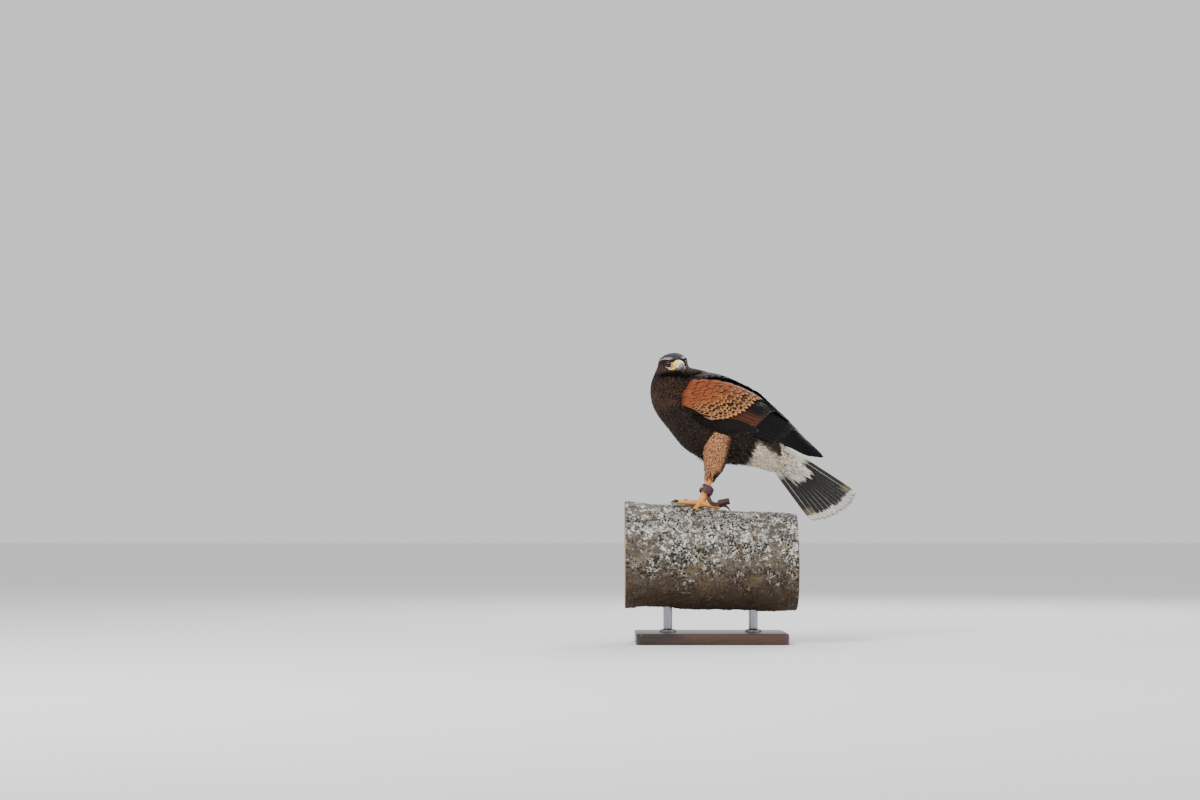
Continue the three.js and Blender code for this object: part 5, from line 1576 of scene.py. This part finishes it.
def rolled_end(leg):
    """The strap's end, rolled up: a strip wound two and a half turns inwards about a rising line, each
    winding a little short of the last at both ends."""
    distance, lift = np.array([33.0, 55.0]), np.array([13.6, 20.2])
    ends = toe_point(leg, 178, distance, lift) + strap_aside(leg) * 10.2
    axis = unit(ends[1] - ends[0])
    first = unit(np.cross(axis, strap_aside(leg)))
    second = np.cross(axis, first)
    spin = np.linspace(0, 5 * np.pi, 150)
    radius = 6.1 - 4.7 * spin / spin[-1]
    ring = first * np.cos(spin)[:, None] + second * np.sin(spin)[:, None]
    middle = (ends[0] + ends[1]) / 2 + ring * radius[:, None]
    half = np.linalg.norm(ends[1] - ends[0]) / 2 * (1 + 0.02 * np.sin(spin * 1.3) - 0.05 * spin / spin[-1])
    k = circle(22)
    flat = signed_power(np.cos(k), 0.3)
    thick = 0.72 * signed_power(np.sin(k), 0.6)
    return loft(middle[:, None] + axis * (half[:, None] * flat)[..., None] + ring[:, None] * thick[:, None])


for name, leg in LEGS.items():
    add_part("cuff_" + name, cuff(leg), "worn_leather", cuff_finish, ["anklet_" + name])
    spots = []
    for angle in (0.2, 2.9):
        angle = np.array(angle * leg["side"])
        near = [cuff_point(leg, angle, np.array(0.0), np.array(lift)) for lift in (0.3, 1.3)]
        spots.append(torus_on(near[0], near[1] - near[0], 2.1, 0.8))
    add_part("cuff_eyelets_" + name, one_mesh(spots), "worn_leather", brass)
    add_part("strap_" + name, one_mesh([strap(leg), rolled_end(leg)]), "worn_leather", strap_finish,
             ["jess_" + name])


# Eyes: very dark glass-clear balls, each in a ring of bare lid, pale below. A feathered ridge of
# brow shades them from above.

def gaze(side):
    """Where an eye looks, and the ways across it and up, in the head's frame."""
    ahead = np.array([np.sin(EYE["forward"]), side * np.cos(EYE["forward"]), 0.0])
    return ahead, np.cross([0, 0, 1.0], ahead), np.array([0, 0, 1.0])


eye_finish, tree, shader = new_material("eye_glass", 0.08, Specular_IOR_Level=0.35)
polar = add_node(tree, "SeparateColor", Color=stored(tree, "polar"))
r = polar.outputs[0]
threads = object_noise(tree, 700, 4, 0.8)
iris = blend(tree, ramp(tree, threads, 0.35, 0.7), colour(24, 12, 8), colour(52, 28, 15))
iris = blend(tree, ramp(tree, r, 0.115, 0.135), colour(3, 3, 4), iris)
iris = blend(tree, ramp(tree, r, 0.22, 0.27), iris, colour(12, 8, 7))
set_base(shader, iris)

lid_finish, tree, shader = new_material("eyelid", 0.55, Specular_IOR_Level=0.4)
painted = stored(tree, "tint")
grain = object_noise(tree, 900, 3, 0.6)
set_base(shader, blend(tree, ramp(tree, grain, 0.4, 0.8, 0, 0.35), painted, colour(120, 92, 62)))
add_bump(tree, shader, grain, 0.0003, 0.5)

for name, side in (("left", 1), ("right", -1)):
    ahead, across, up = gaze(side)
    middle = EYE["place"] * [1, side, 1]
    polar_turn = np.linspace(0.03, np.pi - 0.03, 60)[:, None]
    around = circle(64)
    reach = EYE["radius"] + 0.5 * np.exp(-(polar_turn / 0.62) ** 4)
    ball = middle + ahead * (reach * np.cos(polar_turn))[..., None]
    ball = (ball + across * (reach * np.sin(polar_turn) * np.cos(around))[..., None]
            + up * (reach * np.sin(polar_turn) * np.sin(around))[..., None])
    eye = add_part("eyeball_" + name, loft(ball), "eye", eye_finish, ["eye_" + name], from_head)
    angle = np.append(np.repeat(polar_turn[:, 0], 64), [0, np.pi]) / np.pi
    paint_points(eye, "polar", np.stack([angle, angle * 0, angle * 0], 1))
    # Lid: a ring of soft section on the ball, flattened above, wider and paler below, its upper half painted
    # dark as the brow's shade
    a = circle(72)[:, None]
    b = circle(14)
    wide = 7.6 + 0.4 * np.cos(a) ** 2
    tall = np.where(np.sin(a) > 0, 5.5, 6.9)
    ring_x, ring_z = wide * np.cos(a), tall * np.sin(a)
    distance = np.hypot(ring_x, ring_z)
    thick = 0.95 + 0.35 * step(-np.sin(a), -0.2, 0.8)
    outward_x, outward_z = ring_x / distance, ring_z / distance
    lay = distance + thick * np.cos(b) + 0.4
    height = np.sqrt(np.clip(EYE["radius"] ** 2 - distance ** 2, 1, None)) + 0.2
    height = height + 0.75 * (np.sin(b) - np.cos(b))
    lid = middle + across * (lay * outward_x)[..., None] + up * (lay * outward_z)[..., None]
    points = (lid + ahead * height[..., None]).reshape(-1, 3)
    ring = (points, outward(points, [closed_faces(len(a), len(b))]))
    made = add_part("eyelid_" + name, ring, "bare_skin", lid_finish, carry=from_head)
    # Pale lower lid; the upper half is painted dark brown as the brow's shadow.
    pale = np.repeat(step(-np.sin(a), -0.1, 0.45), len(b))[:, None]
    paint_points(made, "tint", mix(tone(46, 36, 32), tone(236, 220, 186), pale))


# Cere and gape: waxy bare yellow skin over the root of the bill, with a nostril on each side, drawn
# out as a soft yellow edge of the mouth to below each eye.

def bill_ring(x, z, wide, up, low, columns=64):
    """Upright rings: half width across, and their own reach above and below, with flatter sides."""
    turn = circle(columns)
    c, s = np.cos(turn), np.sin(turn)
    x, z, wide, up, low = (np.asarray(value)[..., None] for value in (x, z, wide, up, low))
    rise = np.where(s > 0, up, low) * signed_power(s, 0.95)
    return np.stack(np.broadcast_arrays(x, wide * signed_power(c, 0.85), z + rise), -1)


NOSTRIL = np.array([37.6, 8.3, 2.6])
x = np.linspace(19, 42.6, 70)
# Along the cere: x, centre height, half width, reach above and below
z, wide, up, low = table([(19, 0.6, 10.2, 9.8, 6.6), (28, 0.2, 10.2, 9.8, 6.4), (35, -0.3, 9.2, 9.5, 6.1),
                          (41.2, -0.8, 7.8, 8.6, 5.5), (42.6, -0.8, 6.9, 7.6, 5.0)], x)
rings = bill_ring(x, z, wide, up, low)
mirror = np.where(rings[..., 1:2] > 0, [1, 1, 1], [1, -1, 1])
dent = np.linalg.norm((rings - NOSTRIL * mirror) * [0.8, 0.6, 1.25], axis=-1)
hole = 1 - step(dent, 1.2, 2.1)
rim = np.exp(-((dent - 2.7) / 0.7) ** 2)
middle = np.stack([x * 1.0, 0 * x, z], 1)[:, None]
radial = unit((rings - middle) * [0, 1, 1])
wrinkles = 0.12 * np.sin(rings[..., 0] * 2.1 + 3 * noise(rings, 4, 71))
rings = rings + radial * (0.3 * rim - 2.6 * hole + wrinkles)[..., None]
cere_parts = [loft(rings)]
nostril_shade = [np.concatenate([hole.ravel(), [0, 0]])]
for side in (1, -1):
    t = np.linspace(0, 1, 40)
    gx, gy, gz, radius = table([(share, *spot) for share, spot in zip((0, 0.28, 0.55, 0.8, 1), GAPE)], t)
    radius = radius * np.sqrt(np.clip(1 - np.clip((t - 0.93) / 0.07, 0, 1) ** 2, 0.05, 1))
    cere_parts.append(loft(tube(np.stack([gx, side * gy, gz], 1), radius[:, None], 20, 0.8)))
    nostril_shade.append(np.zeros(len(cere_parts[-1][0])))
cere_finish, tree, shader = new_material("cere_skin", 0.42, Specular_IOR_Level=0.4)
painted = stored(tree, "tint")
grain = object_noise(tree, 500, 4, 0.7)
set_base(shader, blend(tree, ramp(tree, grain, 0.35, 0.8, 0, 0.35), painted, colour(206, 160, 70)))
add_bump(tree, shader, grain, 0.0004, 0.4)
surface = one_mesh(cere_parts)
cere = add_part("cere_and_gape", surface, "cere_skin", cere_finish, ["cere"], from_head)
# The nostrils' dents are painted near black, as painted shade inside the openings.
tints = mix(tone(246, 212, 84), tone(30, 24, 12), np.concatenate(nostril_shade)[:, None])
ends = step(14 - surface[0][:, 0], 0, 5)[:, None]
paint_points(cere, "tint", mix(tints, tone(246, 234, 190), ends))


# Bill: a strong hooked upper half that closes over the lower one. Smooth horn, pale blue-grey where
# it grows out of the cere, brightened there to near white by a painted highlight, black at the point.

BILL = {"start": 41.8, "reach": 12.2, "drop": 13.8, "wide": 7.6, "up": 8.3, "low": 5.3}
t = np.linspace(0, 1, 70)
path = np.stack([BILL["start"] + BILL["reach"] * np.sin(t * np.pi / 2), 0 * t,
                 -0.7 - BILL["drop"] * t ** 2.1], 1)
thin = np.clip(1 - 0.93 * t ** 1.7, 0.03, 1)
ahead = unit(np.gradient(path, axis=0))
ahead[0] = [1, 0, 0]
ahead = unit(ahead * (t ** 0.5)[:, None] + np.array([1.0, 0, 0]) * (1 - t ** 0.5)[:, None])
across = np.array([0, 1.0, 0])
up = np.cross(ahead, across)
turn = circle(56)
c, s = np.cos(turn), np.sin(turn)
edge = 1 + 0.1 * np.exp(-((t - 0.35) / 0.12) ** 2)[:, None] * np.clip(-s, 0, 1)
rise = np.where(s > 0, BILL["up"] * np.abs(s) ** 0.95, -BILL["low"] * np.abs(s) ** 0.8)
spread_out = signed_power(c, np.where(s > 0, 1.08, 0.7))
bill = (path[:, None] + across * (BILL["wide"] * thin[:, None] * spread_out)[..., None]
        + up[:, None] * (thin[:, None] * rise * edge)[..., None])
horn, tree, shader = new_material("bill_horn", 0.33, Specular_IOR_Level=0.45)
painted = stored(tree, "tint")
streaks = object_noise(tree, 260, 3, 0.6, (0.4, 0.4, 1))
set_base(shader, blend(tree, ramp(tree, streaks, 0.3, 0.8, 0, 0.3), painted, colour(60, 62, 68)))


def horn_tint_and_highlight(share):
    """From near white, the pale blue-grey horn with a painted highlight, through slate to black, by the share
    of the way to the point.
    """
    first, second = step(share, 0.1, 0.5)[:, None], step(share, 0.42, 0.78)[:, None]
    # Near white at the root: the horn's pale blue-grey with a painted highlight.
    return mix(mix(tone(232, 226, 208), tone(112, 114, 118), first), tone(13, 13, 15), second)


made = add_part("bill_hook", loft(bill), "bill_horn", horn, ["bill_upper"], from_head)
paint_points(made, "tint", horn_tint_and_highlight(np.concatenate([np.repeat(t, 56), [0, 1]])))
t = np.linspace(0, 1, 30)
thin = 1 - 0.5 * t * t
rounded = np.sqrt(1 - np.clip((t - 0.86) / 0.15, 0, 1) ** 2)
lower = bill_ring(19 + 21 * t, -8.1 + 0.6 * t, 8.1 * thin * rounded, 1.8 * thin, 4 * thin)
made = add_part("bill_under", loft(lower), "bill_horn", horn, ["bill_lower"], from_head)
paint_points(made, "tint", horn_tint_and_highlight(np.concatenate([np.repeat(0.3 + 0.3 * t, 64), [0.3, 0.6]])))


# Bristles: fine dark hair-like feathers on the bare skin between eye and cere, drawn forward.

count = 120
side = np.where(np.arange(count) % 2, 1.0, -1.0)
start = np.stack([chance(count, 701, 15.5, 26), side * chance(count, 702, 10, 15),
                  chance(count, 703, -6.5, 6)], 1)
roots = settle(body_field, from_head(start), -1.2, 6)[0]
s = np.linspace(0, 1, 5)
levels = -1.4 + (1.2 + chance(count, 704, 0.3, 1.6))[:, None] * s
fan = chance(count, 705, -0.5, 0.5)[:, None]


def bristle_lie(p):
    """Forward along the bill, fanned up or down."""
    return HEAD_TURN[:, 0] + HEAD_TURN[:, 2] * fan


line, out = lay_lines(body_field, bristle_lie, roots, chance(count, 706, 3.4, 6.2), levels)
hairs = leaves(line, out, (0.17 * (1 - 0.75 * s))[None] + 0 * fan, 3, 0.14, 0.2, 0.0, seed=707)
bristles = {"leaves": hairs, "tint": np.tile(tone(34, 27, 24), (count, 1)),
            "rim": edged(tone(60, 50, 42), np.full(count, 0.1)),
            "place": np.stack([chance(count, 708, 0.02, 0.98), chance(count, 709, 0.02, 0.98)], 1)}
add_coat("lore_bristles", "dark_plumage", body_finish, bristles)


size = {"cad": cad_box, "visual": [list(corner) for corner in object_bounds()]}
